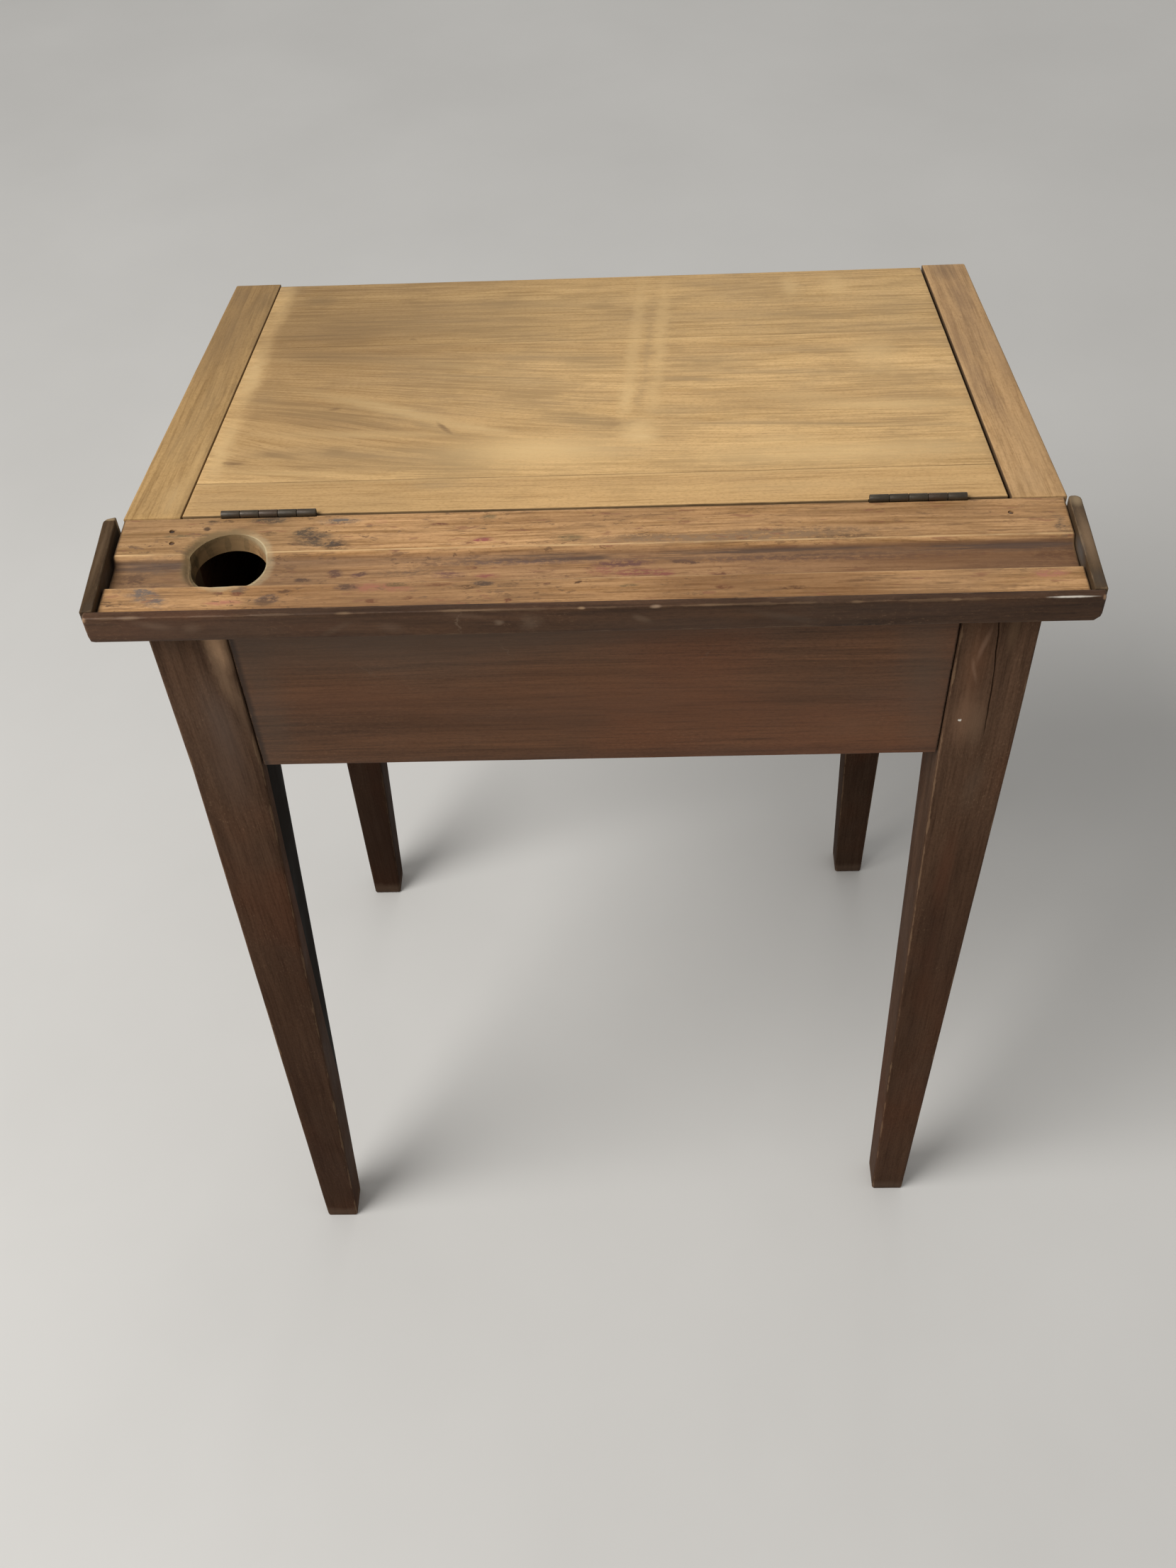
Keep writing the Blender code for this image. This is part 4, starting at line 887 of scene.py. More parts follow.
LEDGE_MARKS = [  # x, y
    (-143.6, 47.2, 12, 3.2, -4, 0.9, GBRN, 0.50), (-131.6, 38.8, 9, 3.4, -8, 0.9, DKB, 0.42), (-130.1, 57.9, 11, 2.4, 0, 0.9, GBLUE, 0.45),
    (-222.2, 4.5, 5, 4.6, -35, 0.9, GBLUE, 0.62), (-217, -1.0, 6, 3.0, 0, 0.9, GBLUE, 0.45), (-234.3, 23.0, 6, 3.2, 10, 0.9, DKB, 0.60),
    (-228, 27, 9, 5, 0, 0.9, GBRN, 0.35), (-222, 16.5, 10, 2.2, 0, 0.9, GBRN, 0.35),
    (-52.6, 7.6, 4.6, 1.8, 0, 0.7, GBLUE, 0.75), (-110.1, 6.5, 12, 3.6, 0, 0.95, PINK, 0.42), (-96, 4.6, 8, 2.0, 0, 0.9, PINK, 0.35),
    (-181.9, -2.6, 9, 1.8, 0, 0.9, PINK, 0.45), (226.8, 5.2, 9, 2.8, 4, 0.9, PINK, 0.42),
    (26.4, 18.6, 15, 3.0, 0, 0.9, REDP, 0.62), (17.5, 25.6, 14, 3.2, 0, 0.9, PURPLE, 0.55), (8, 21, 8, 4, 0, 0.9, REDP, 0.38), (36, 17.0, 7, 1.8, 0, 0.8, REDP, 0.55),
    (48.5, 25.6, 7.5, 1.25, -7, 0.6, INK, 0.92), (-55, 40.6, 6, 1.6, 0, 0.9, REDP, 0.48), (-62, 38.4, 4, 1.1, 0, 0.8, REDB, 0.40),
    (66.3, 15.4, 5, 1.9, 0, 0.8, REDB, 0.62), (67.1, 0.4, 4.4, 1.5, 0, 0.8, REDB, 0.70), (-129.9, 23.4, 3.6, 1.9, 0, 0.8, PURPLE, 0.70),
    (-118.8, 21.4, 3.6, 1.8, 0, 0.8, PURPLE, 0.62), (-131, 20.4, 3.0, 1.0, 0, 0.8, REDB, 0.55), (-146.2, 18.1, 3.2, 1.2, 0, 0.7, DKB, 0.80),
    (-120.8, 6.3, 4.8, 2.3, 0, 0.9, GBLUE, 0.62), (-158.8, -2.0, 4, 2.0, 0, 0.8, GBLUE, 0.66), (-163, -4.4, 3, 0.8, 0, 0.7, DKB, 0.55),
    (-176.6, 6.0, 3.6, 1.5, 0, 0.8, GBRN, 0.60), (-186, 4.6, 2.6, 0.9, 0, 0.8, REDB, 0.45),
    (-29.1, 28.6, 44, 2.6, 0, 0.9, (0.150, 0.105, 0.090), 0.32), (-68.9, 29.0, 26, 2.8, 0, 0.9, GBRN, 0.26), (-90, 23.0, 20, 4.0, 0, 0.95, GBRN, 0.35),
    (-96, 8.1, 6, 1.6, 0, 0.8, OLIVE, 0.50), (-75, 7.4, 9, 1.2, 0, 0.8, REDB, 0.38), (217.4, 14, 30, 8, 0, 0.95, (0.150, 0.090, 0.050), 0.42),
    (232, 26, 16, 6, 0, 0.95, DKB, 0.45), (120, 27, 90, 3.5, 0, 0.95, (0.165, 0.105, 0.075), 0.38),
    (89.3, 43.5, 3.8, 1.4, 0, 0.8, REDB, 0.55), (-6.6, 13.4, 5, 1.4, 0, 0.8, REDB, 0.60), (-20.6, 6.0, 1.9, 0.8, 10, 0.5, DKB, 0.85), (-5.1, 6.5, 2.6, 0.8, 20, 0.5, DKB, 0.85),
    (240, 41, 3.6, 9, 10, 0.9, GBRN, 0.55), (243, 22, 3, 9, 0, 0.9, GBRN, 0.50), (-237, 10, 3, 5, 0, 0.9, GBRN, 0.40),
    (-72, 20, 8, 3, 0, 0.9, PURPLE, 0.35), (-52, 18.5, 6, 2.0, 0, 0.9, REDP, 0.40), (-60, 24.6, 3.0, 1.4, 0, 0.7, REDB, 0.60),
    (110, 41, 50, 3.2, 0, 0.95, (0.250, 0.155, 0.085), 0.45), (60, 38, 60, 3.4, 0, 0.95, (0.270, 0.170, 0.095), 0.42), (30, 40, 20, 2.4, 0, 0.95, GBRN, 0.35),
    (-10, 40.5, 8, 2.4, 0, 0.9, OLIVE, 0.32), (130, 36.6, 22, 2.0, 0, 0.9, DKB, 0.30), 
    (-52, 58.5, 4.5, 1.8, 0, 0.9, OLIVE, 0.35), (-78, 53.8, 5, 0.7, 0, 0.7, REDB, 0.40), (-108, 57, 3.6, 1.4, 0, 0.9, PINK, 0.30),
    (-40, -5.6, 2.0, 1.8, 0, 0.7, REDB, 0.55), (-90, -2.0, 3.0, 1.4, 0, 0.8, REDB, 0.45), (20, 3.6, 5, 1.2, 0, 0.8, OLIVE, 0.45), (100, -1, 9, 1.3, 0, 0.8, DKB, 0.40),
    (135, 3.0, 10, 1.2, 0, 0.8, DKB, 0.32), (168, 11.6, 3.4, 0.9, 0, 0.8, REDB, 0.40),
    (-197, 60, 3.0, 1.0, 0, 0.8, DKB, 0.45), (-187.5, 59.8, 1.6, 0.8, 0, 0.7, DKB, 0.40), (-181, 55, 3.6, 1.4, 0, 0.9, REDB, 0.25), (-166, 49.5, 5, 1.6, 0, 0.9, DKB, 0.35),
    (-214, 49, 8, 1.5, 0, 0.9, OLIVE, 0.35), (-229.5, 36.5, 4, 0.9, 0, 0.8, DKB, 0.35), (-164, 61, 7, 2.0, 0, 0.9, GBLUE, 0.50), (-225, 5.5, 7, 6, -35, 0.9, GBLUE, 0.60),
    (-218, -1, 6, 4, -30, 0.9, GBLUE, 0.55), (-146, 44, 8, 6.0, 0, 0.8, INK, 0.42), (-148, 50, 6, 3.4, 20, 0.8, (0.060, 0.050, 0.044), 0.52), (-168, 59.5, 10, 2.8, 0, 0.9, (0.060, 0.050, 0.044), 0.50), (-138, 41, 12, 3.0, 0, 0.8, (0.060, 0.050, 0.044), 0.40),
    (-160, -1.5, 6, 3.2, 15, 0.8, (0.060, 0.050, 0.044), 0.48), (-121, 7.5, 6, 3.4, 0, 0.8, (0.060, 0.050, 0.044), 0.42), (-52.6, 7.6, 5.0, 2.2, 0, 0.7, (0.060, 0.050, 0.044), 0.50), (-146, 18.3, 4.4, 1.8, 0, 0.7, INK, 0.52),
    (-129, 22.8, 3.4, 3.0, 0, 0.8, (0.070, 0.040, 0.046), 0.46), (-116, 22.4, 3.6, 2.0, 0, 0.8, (0.080, 0.045, 0.045), 0.40), (48.5, 25.6, 8.0, 1.8, -7, 0.6, INK, 0.60),
    (-176, 3.6, 3.4, 1.6, 0, 0.7, REDB, 0.55), (-152, 4.8, 4.0, 1.4, 0, 0.7, DKB, 0.45), (-108, -3.6, 3.4, 1.5, 0, 0.7, REDB, 0.45), (-60, 5.0, 6.0, 1.5, 0, 0.8, DKB, 0.40), (-100, 12.5, 5.0, 1.4, 0, 0.8, REDB, 0.42), (-161, -1, 6, 3.4, 20, 0.9, GBLUE, 0.55), (-163, -3, 3, 1.3, 10, 0.8, INK, 0.45), (-176, 7.5, 5, 2.8, 0, 0.9, GBRN, 0.40),
    (-234, 21, 7, 5, 0, 0.9, DKB, 0.60), (-222, 29, 16, 4.5, 0, 0.95, (0.230, 0.170, 0.120), 0.50),
]
LEDGE_MARKS = [q[:5] + (q[5] * (0.75 if q[3] < 4 else 1.0), q[6], min(0.97, q[7] * (2.0 if q[3] < 4 else 1.6))) for q in LEDGE_MARKS]


def ledge_extra(m, color, P, wob, A, C):
    x, y, z = m.split(P)
    # browner along the near strip
    color = m.mix(m.remap(y, 0.014, 0.006, 0.0, 0.20), color, (0.185, 0.090, 0.036))
    # uneven tone along the board
    far_part = m.remap(y, 0.030, 0.036)
    color = m.mix(m.math("MULTIPLY", far_part, 0.13), color, (0.150, 0.075, 0.030))
    tone = m.math("MULTIPLY", far_part, m.remap(x, -0.120, -0.160))
    color = m.mix(m.math("MULTIPLY", tone, 0.38), color, (0.160, 0.100, 0.046))
    tone = m.math("MULTIPLY", far_part, m.math("MULTIPLY", m.remap(x, 0.090, 0.165), m.remap(x, 0.215, 0.185)))
    color = m.mix(m.math("MULTIPLY", tone, 0.24), color, (0.160, 0.085, 0.036))
    near_part = m.remap(y, 0.012, 0.008)
    tone = m.math("MULTIPLY", near_part, m.math("MULTIPLY", m.remap(x, -0.185, -0.150), m.remap(x, 0.190, 0.120)))
    color = m.mix(m.math("MULTIPLY", tone, 0.18), color, (0.150, 0.062, 0.020))
    tone = m.math("MULTIPLY", near_part, m.math("MULTIPLY", m.remap(x, -0.185, -0.160), m.remap(x, -0.050, -0.080)))
    color = m.mix(m.math("MULTIPLY", tone, 0.26), color, (0.165, 0.075, 0.034))
    tone = m.math("MULTIPLY", near_part, m.math("MULTIPLY", m.remap(x, 0.015, 0.045), m.remap(x, 0.160, 0.125)))
    color = m.mix(m.math("MULTIPLY", tone, 0.42), color, (0.140, 0.060, 0.022))
    # thin dark pores along the grain
    f5 = m.noise(P, (48, 430, 430), 3.0, 0.70, 58.0)
    f6 = m.noise(P, (20, 70, 70), 3.0, 0.6, 59.0)
    color = m.mix(m.math("MULTIPLY", m.remap(f5, 0.545, 0.660), m.remap(f6, 0.42, 0.60, 0.15, 0.62)), color, (0.165, 0.090, 0.042))
    # brown flecks of ink and dirt, denser to the left
    f1 = m.noise(P, (170, 480, 300), 3.0, 0.7, 55.0)
    f2 = m.noise(P, (26, 60, 60), 2.0, 0.5, 57.0)
    dens = m.remap(x, 0.12, -0.20, 0.50, 1.0)
    fl = m.math("MULTIPLY", m.math("MULTIPLY", m.remap(f1, 0.575, 0.655), m.remap(f2, 0.42, 0.58)), dens)
    color = m.mix(m.math("MULTIPLY", fl, 0.85), color, (0.105, 0.058, 0.032))
    f7 = m.math("MULTIPLY", m.remap(m.noise(P, (75, 230, 230), 3.0, 0.66, 60.0), 0.610, 0.690), m.remap(x, 0.02, -0.06, 0.25, 1.0))
    color = m.mix(m.math("MULTIPLY", f7, 0.60), color, (0.135, 0.080, 0.050))
    f3 = m.noise(P, (60, 240, 200), 2.0, 0.6, 61.0)
    color = m.mix(m.math("MULTIPLY", m.remap(f3, 0.615, 0.700), 0.50), color, (0.210, 0.085, 0.050))
    f4 = m.noise(P, (14, 90, 90), 4.0, 0.7, 62.0)
    color = m.mix(m.remap(f4, 0.53, 0.70, 0.0, 0.42), color, (0.200, 0.110, 0.052))
    # the groove is darker, most of all at the foot of its far wall: dirt together with painted shade in the recess
    w = m.math("MULTIPLY_ADD", A, 0.0009, y)
    inside = m.math("MULTIPLY", m.remap(w, G0 + 0.0004, G0 + 0.0018), m.remap(w, G1 + 0.0000, G1 - 0.0010))
    color = m.mix(m.math("MULTIPLY", inside, m.remap(x, -0.060, 0.230, 0.40, 0.66)), color, (0.180, 0.090, 0.048))
    color = m.mix(m.math("MULTIPLY", inside, m.remap(x, -0.090, -0.160, 0.0, 0.46)), color, (0.120, 0.070, 0.040))
    color = m.mix(m.math("MULTIPLY", inside, m.remap(x, -0.030, 0.230, 0.0, 0.34)), color, (0.085, 0.036, 0.016))
    far = m.math("MULTIPLY", m.remap(w, G1 - 0.0072, G1 - 0.0036), m.remap(w, G1 - 0.0006, G1 - 0.0017))
    far = m.math("MULTIPLY", far, m.math("ADD", m.remap(x, -0.080, 0.000, 0.30, 0.80), m.remap(x, -0.190, -0.210, 0.0, 0.5)))
    color = m.mix(m.math("MULTIPLY", far, m.remap(m.noise(P, (16, 320, 320), 4.0, 0.72, 63.0), 0.38, 0.58, 0.30, 1.10)), color, (0.085, 0.054, 0.040))
    near = m.math("MULTIPLY", m.remap(w, G0 + 0.0044, G0 + 0.0022), m.remap(w, G0 + 0.0006, G0 + 0.0014))
    color = m.mix(m.math("MULTIPLY", near, 0.35), color, (0.120, 0.070, 0.040))
    # painted highlights: thin bright lines on the arrises of the groove
    for y0, k in ((G0 - 0.0001, 0.85), (G1 + 0.0009, 0.80)):
        d = m.math("ABSOLUTE", m.math("SUBTRACT", m.math("MULTIPLY_ADD", C, 0.0004, y), y0 + 0.0002))
        msk = m.math("MULTIPLY", m.remap(d, 0.0008, 0.0002), m.remap(m.noise(P, (30, 90, 90), 3.0, 0.6, 65.0), 0.38, 0.58, 0.30, 1.0))
        color = m.mix(m.math("MULTIPLY", msk, k), color, (0.620, 0.410, 0.205))
    # rim and wall of the inkwell hole, painted light and shade: olive-brown in shade to the left and far side, pale
    # where lit to the right, the wall darkening with depth
    rad = m.well_radius(P)
    speck = m.noise(P, (420, 420, 420), 3.0, 0.75, 66.0)
    rough_rad = m.math("MULTIPLY_ADD", m.math("ADD", speck, m.noise(P, (120, 120, 120), 2.0, 0.6, 68.0)), 0.0026, m.math("SUBTRACT", rad, 0.0026))
    right = m.remap(m.math("SUBTRACT", x, m.math("MULTIPLY", y, 0.6)), -0.216, -0.196)
    rim = m.math("MULTIPLY", m.remap(rough_rad, WELL_R + 0.0046, WELL_R + 0.0014), m.remap(z, -0.0085, -0.0035))
    color = m.mix(m.math("MULTIPLY", m.math("MULTIPLY", rim, right), 0.45), color, (0.440, 0.350, 0.210))
    shaded_rim = m.math("MULTIPLY", m.remap(rough_rad, WELL_R + 0.0050, WELL_R + 0.0008), m.math("SUBTRACT", 1.0, right))
    color = m.mix(m.math("MULTIPLY", m.math("MULTIPLY", shaded_rim, m.remap(y, 0.012, 0.026)), 0.80), color, (0.175, 0.120, 0.058))
    wall = m.remap(m.math("SUBTRACT", rad, m.remap(z, -0.0116, 0.0, -0.0021, 0.0, False)), WELL_R + 0.0008, WELL_R + 0.0003)
    wall = m.math("MULTIPLY", wall, m.remap(m.math("ADD", rad, m.math("MULTIPLY", z, -0.10)), WELL_R + 0.0014, WELL_R + 0.0008))
    zz = m.math("MULTIPLY_ADD", m.math("SUBTRACT", speck, 0.5), 0.012, z)
    wall_in_shade = m.mix(m.remap(zz, -0.0005, -0.0085), (0.190, 0.130, 0.062), (0.075, 0.050, 0.022))
    wall_in_light = m.mix(m.remap(zz, -0.0010, -0.0100), (0.440, 0.350, 0.210), (0.260, 0.200, 0.115))
    color = m.mix(wall, color, m.mix(right, wall_in_shade, wall_in_light))
    # small round brown spot beside the hole
    color = m.mix(m.spot(P, (-199.6, 54.3, 0.0), (1.9, 1.7, 10000.0), 0, 0.5, 0.90), color, (0.075, 0.042, 0.024))
    # painted shade, with some dirt, on the edges that face the gaps: the hinge line and both ends
    thin = m.remap(x, -0.196, -0.192, 0.0007, 0.0)
    d = m.math("ADD", m.math("SUBTRACT", Y_JOINT - 0.0007, y), thin)
    color = m.mix(m.remap(d, 0.0011, 0.0004, 0.0, 0.90), color, (0.045, 0.027, 0.016))
    for d in (m.math("SUBTRACT", LEDGE_X[1], x), m.math("SUBTRACT", x, LEDGE_X[0])):
        color = m.mix(m.remap(m.math("MULTIPLY_ADD", A, 0.0008, d), 0.0018, 0.0008, 0.0, 0.90), color, (0.040, 0.024, 0.015))
    return color


dress(ledge, sanded("sanded_ledge", "flat", seed=31.0, tint=(0.945, 0.818, 0.808), dark=0.88, marks=LEDGE_MARKS, extra=ledge_extra, streak=(7, 130, 130), contrast=1.80,
                    grey=0.50, flecks=1.0, smudge=0.60, pale=0.17, fibre=1.75, mottle=0.70), "desk", "pale_top", "ledge_board")

# --------------------------------------------------------------- side boards
S_TOP = [0.0]


def side_shape(V):
    x, s, n = V[:, 0], V[:, 1].copy(), V[:, 2]
    s_near = (-GAP - n * SN) / CS
    s = s + (s_near - 0.0) * (1 - s / SIDE_S)
    return from_slope(np.stack([x, s, n], 1))


def side_cavity(x, wood_top=-0.0006):
    """Room for the sunk nails: it stays below the filled surface."""
    parts = []
    for s in (0.035, 0.160, 0.290):
        y, z = slope_point(s, wood_top)
        parts.append(turned_data([(0, 0), (0, 0.0019), (0.0022, 0.0019), (0.0026, 0.0012), (0.0300, 0.0012), (0.0300, 0)], 16, (x, y, z), (0, -SN, -CS)))
    return parts


side_l = block("wood_side_board_left", SIDE_XL, (0.0, SIDE_S), (-T, 0.0), ((0.0013, 0.0004), (0.0005, 0.0013), (0.0008, 0.0010)), (0.0045, 0.0045, 0.004), 31, side_shape,
               wear=0.0006, dent=0.00012, along=(90, 30, 90))
side_r = block("wood_side_board_right", SIDE_XR, (0.0, SIDE_S), (-T, 0.0), ((0.0005, 0.0014), (0.0005, 0.0013), (0.0008, 0.0010)), (0.0045, 0.0045, 0.004), 32, side_shape,
               wear=0.0006, dent=0.00012, along=(90, 30, 90))
carve(side_l, cutter("t_nl", *side_cavity(-0.2200)))
carve(side_r, cutter("t_nr", *side_cavity(0.2212)))
# along the board, across it
SIDE_L_MARKS = [(250, -231, 70, 16, 0, 0.95, (0.300, 0.190, 0.090), 0.40), (80, -232, 30, 8, 5, 0.9, (0.440, 0.290, 0.130), 0.30), (300, -240, 16, 6, 0, 0.9, (0.230, 0.145, 0.072), 0.45),
                (20, -224, 22, 6, 0, 0.9, (0.620, 0.420, 0.200), 0.40), (180, -243, 60, 3, 0, 0.9, (0.270, 0.170, 0.080), 0.40), (60, -219, 50, 3, 0, 0.9, (0.600, 0.400, 0.185), 0.35),
                (290, -222, 26, 5, 0, 0.95, (0.240, 0.155, 0.075), 0.40), (140, -228, 40, 6, 0, 0.95, (0.380, 0.250, 0.115), 0.30)]
SIDE_R_MARKS = [(250, 235, 60, 8, 3, 0.95, (0.220, 0.135, 0.080), 0.36), (120, 228, 50, 5, -4, 0.95, (0.230, 0.135, 0.078), 0.28), (60, 238, 34, 7, 0, 0.9, (0.500, 0.320, 0.160), 0.42),
                (180, 241, 40, 4, 0, 0.9, (0.460, 0.285, 0.145), 0.40), (305, 232, 12, 9, 0, 0.9, (0.200, 0.125, 0.070), 0.45), (20, 232, 16, 8, 0, 0.9, (0.520, 0.335, 0.170), 0.35),
                (210, 222, 80, 3, 0, 0.9, (0.260, 0.150, 0.078), 0.35)]


def side_shade(x_gap, sign, far, gap_shade):
    def shade(m, color, P):
        """Painted shade: browner towards the far end, where less light falls, and dark in the gap beside the lid,
        mostly shade with some dirt.
        """
        s, x, n = m.split(P)
        # painted shade towards the far end
        color = m.mix(m.remap(s, 0.05, 0.310, 0.0, far), color, (0.105, 0.060, 0.024))
        # painted shade in the gap beside the lid, with some dirt
        d = m.math("MULTIPLY", m.math("SUBTRACT", x, x_gap), float(sign))
        return m.mix(m.remap(d, 0.00075, 0.00025, 0.0, gap_shade), color, (0.050, 0.029, 0.016))
    return shade


dress(side_l, sanded("sanded_side_left", "slope", seed=41.0, tint=(0.98, 0.91, 0.80), dark=0.69, grain="Y", marks=SIDE_L_MARKS, contrast=0.80, grey=0.42, flecks=0.35, smudge=0.34,
                     shade=side_shade(SIDE_XL[1], -1, 0.30, 0.45)), "desk", "pale_top", "side_board_left")
dress(side_r, sanded("sanded_side_right", "slope", seed=43.0, tint=(1.0, 0.920, 0.925), dark=0.81, grain="Y", marks=SIDE_R_MARKS, contrast=1.0, grey=0.46, flecks=0.5, smudge=0.40,
                     shade=side_shade(SIDE_XR[0], 1, 0.0, 0.88)), "desk", "brown_top", "side_board_right")

# -------------------------------------------------------------------- lipping
def lip_back_relief(V, D, edge):
    """Worn lower corners, small chips along the outer top arris."""
    x, y, z = V[:, 0], V[:, 1], V[:, 2]
    V = V.copy()
    t = np.clip((np.abs(x) - (LIP_BACK_X - 0.0040)) / 0.0040, 0, 1)
    u = np.clip((z - (LIP_TOP - 0.0030)) / 0.0030, 0, 1)
    b = np.clip(((LIP_BOTTOM + 0.0032) - z) / 0.0032, 0, 1)
    y_out = LEDGE_Y0 - GAP - LIP_T
    f = np.clip(((y_out + 0.0024) - y) / 0.0024, 0, 1)
    V[:, 0] -= np.sign(x) * (0.0008 * t * u * u + 0.0010 * t * f + np.where(x > 0, 0.0024, 0.0008) * t * b)
    V[:, 2] += np.where(x > 0, 0.0016, 0.0006) * t * b
    rough = np.clip((-LIP_BACK_X + 0.0012 - x) / 0.0012, 0, 1)
    V[:, 0] += 0.0005 * rough * (0.5 + 0.5 * noise(V * 900.0, 41))
    for cx, wid, dep in ((-0.0032, 0.0018, 0.0005), (0.0329, 0.0022, 0.0006), (0.132, 0.0015, 0.0003), (-0.120, 0.0016, 0.0003), (0.178, 0.0014, 0.0003), (-0.232, 0.0030, 0.0005)):
        k = np.exp(-((x - cx) / wid) ** 2) * np.clip((z - (LIP_TOP - 0.0014)) / 0.0014, 0, 1) * np.clip(((y_out + 0.0016) - y) / 0.0016, 0, 1)
        V[:, 2] -= dep * k
        V[:, 1] += dep * 0.6 * k
    return V, edge


lip_b = block("wood_lip_back", (-LIP_BACK_X, LIP_BACK_X), (LEDGE_Y0 - GAP - LIP_T, LEDGE_Y0 - GAP), (LIP_BOTTOM, LIP_TOP), ((0.0005, 0.0007), (0.0009, 0.0005), (0.0008, 0.0008)),
              (0.0018, 0.0012, 0.0018), 51, before=lip_back_relief, wear=0.0004, dent=0.00012)


def end_lip(name, side, sx, splay, seed):
    """Strip at one end of the ledge. Box coordinates: u along it, v outwards."""
    L, x0 = LIP_LENGTH[side], LEDGE_X[side]
    if sx < 0:      # far end sawn askew and left rough
        vv, uu = [0.0, 0.0045, END_T], [0.0, 0.0012, 0.0040]
    else:           # far end rubbed round
        vv, uu = [0.0, 0.0006, 0.0018, 0.0040, 0.0054, END_T], [0.0018, 0.0010, 0.0, 0.0, 0.0013, 0.0034]

    def relief(V, D, edge):
        V = V.copy()
        u, v, z = V[:, 0], V[:, 1], V[:, 2]
        k = np.clip((u - (L - 0.0080)) / 0.0080, 0, 1)
        V[:, 0] = u - k * np.interp(v, vv, uu)
        end = np.clip((u - (L - 0.0008)) / 0.0008, 0, 1)
        if sx < 0:
            V[:, 0] -= end * 0.0005 * (0.5 + 0.5 * fbm(V * 800.0, 43, 2))
        else:
            V[:, 2] -= 0.0006 * np.clip((u - (L - 0.0025)) / 0.0025, 0, 1) ** 2 * np.clip((z - (LIP_TOP - 0.0020)) / 0.0020, 0, 1)
        return V, edge

    def shape(V):
        u, v, z = V[:, 0], V[:, 1], V[:, 2]
        x = x0 + sx * (GAP + u * sin(splay) + v * cos(splay))
        y = LEDGE_Y0 + u * cos(splay) - v * sin(splay)
        return np.stack([x, y, z], 1)

    ob = block(name, (0.0, L), (0.0, END_T), (LIP_BOTTOM, LIP_TOP), ((0.0004, 0.0007), (0.0006, 0.0009), (0.0008, 0.0008)), (0.0016, 0.0011, 0.0018), seed, shape,
               wear=0.0005, dent=0.00014, before=relief)
    return outward(ob)


lip_l = end_lip("wood_lip_left", 0, -1, LIP_SPLAY, 52)
lip_r = end_lip("wood_lip_right", 1, 1, 0.0, 53)

CHIP = (0.460, 0.300, 0.165)
PEACH = (0.500, 0.310, 0.180)


def lip_extra(m, color, P, wob, A, C):
    """Marks on the outer face and on the top of the back strip; P is (x, y, z)."""
    x, y, z = m.split(P)
    F = m.join(x, z, 0.0)
    color = m.ellipses(color, F, wob, [
        (26, 661.5, 5, 2.0, -25, 0.9, (0.150, 0.098, 0.062), 0.45), (-64.6, 662, 0.7, 6.5, 8, 0.8, (0.190, 0.130, 0.085), 0.45), (-28.2, 660.5, 5, 5, 0, 0.95, (0.140, 0.092, 0.060), 0.40),
        (150, 664, 60, 5, 0, 0.95, (0.048, 0.026, 0.016), 0.50), (60, 657, 60, 4, 0, 0.95, (0.050, 0.029, 0.019), 0.45), (-150, 662, 60, 6, 0, 0.95, (0.084, 0.044, 0.026), 0.30),
        (-220, 660, 30, 7, 0, 0.95, (0.092, 0.048, 0.028), 0.34), (-215, 664, 9, 2.4, -12, 0.9, (0.190, 0.120, 0.078), 0.34),
        (-196, 662, 5, 3.0, 20, 0.9, (0.180, 0.115, 0.075), 0.30), (-98, 659.5, 6, 3.4, -10, 0.95, (0.150, 0.095, 0.062), 0.34), (-60, 666.0, 10, 1.6, -8, 0.9, (0.160, 0.095, 0.060), 0.32),
        (-44, 661, 2.2, 1.8, 0, 0.8, (0.260, 0.180, 0.120), 0.42), (95, 661, 18, 2.4, -14, 0.9, (0.090, 0.060, 0.040), 0.40), (-125, 659, 9, 2, 30, 0.9, (0.120, 0.080, 0.052), 0.30),
    ])
    color = m.balls(color, P, m.vec("SCALE", wob, scale=0.7), [
        # outer top arris: rubbed spots, chips, a thin pale scratch near the right end
        ((233, -16.6, 669.6), (12.5, 0.75, 0.5), 0.5, (0.620, 0.570, 0.500), 0.85), ((-3.2, -16.5, 669.3), (1.9, 1.0, 0.8), 0.6, CHIP, 0.45), ((32.9, -16.5, 669.2), (2.6, 1.2, 1.0), 0.7, (0.420, 0.290, 0.190), 0.48),
        ((-226, -16.5, 669.2), (5, 1.3, 1.0), 0.8, (0.300, 0.200, 0.120), 0.38), ((130, -16.5, 669.3), (3.0, 1.0, 0.8), 0.7, CHIP, 0.18), ((-120, -16.5, 669.4), (4.0, 1.0, 0.7), 0.7, CHIP, 0.20),
        ((60, -16.4, 669.4), (12, 0.8, 0.6), 0.8, CHIP, 0.14), ((-60, -16.4, 669.4), (16, 0.8, 0.6), 0.8, CHIP, 0.14), ((178, -16.5, 669.3), (2.4, 1.0, 0.8), 0.7, CHIP, 0.20),
        # end corners
        ((249.6, -16.5, 668.8), (1.6, 1.2, 1.7), 0.7, PEACH, 0.85), ((-250.6, -15.5, 661), (1.3, 2.6, 8.0), 0.7, PEACH, 0.70), ((-249.6, -16.6, 668.6), (2.2, 1.4, 1.5), 0.7, PEACH, 0.65),
        ((250.6, -15.0, 658), (1.0, 2.0, 2.4), 0.8, CHIP, 0.35),
    ])
    return color


dress(lip_b, stained("stained_lip_back", (0, 0, 0), "X", 61.0, base=(0.070, 0.034, 0.017), deep=(0.029, 0.014, 0.007), red=(0.084, 0.033, 0.016), wear=(0.30, 0.190, 0.105),
                     wear_amount=0.20, grey=0.30, greyc=(0.078, 0.050, 0.031), streak=(8, 160, 160), extra=lip_extra, scratches=0.25, rough=(0.46, 0.66)),
      "desk", "stained_lip", "lip_back")


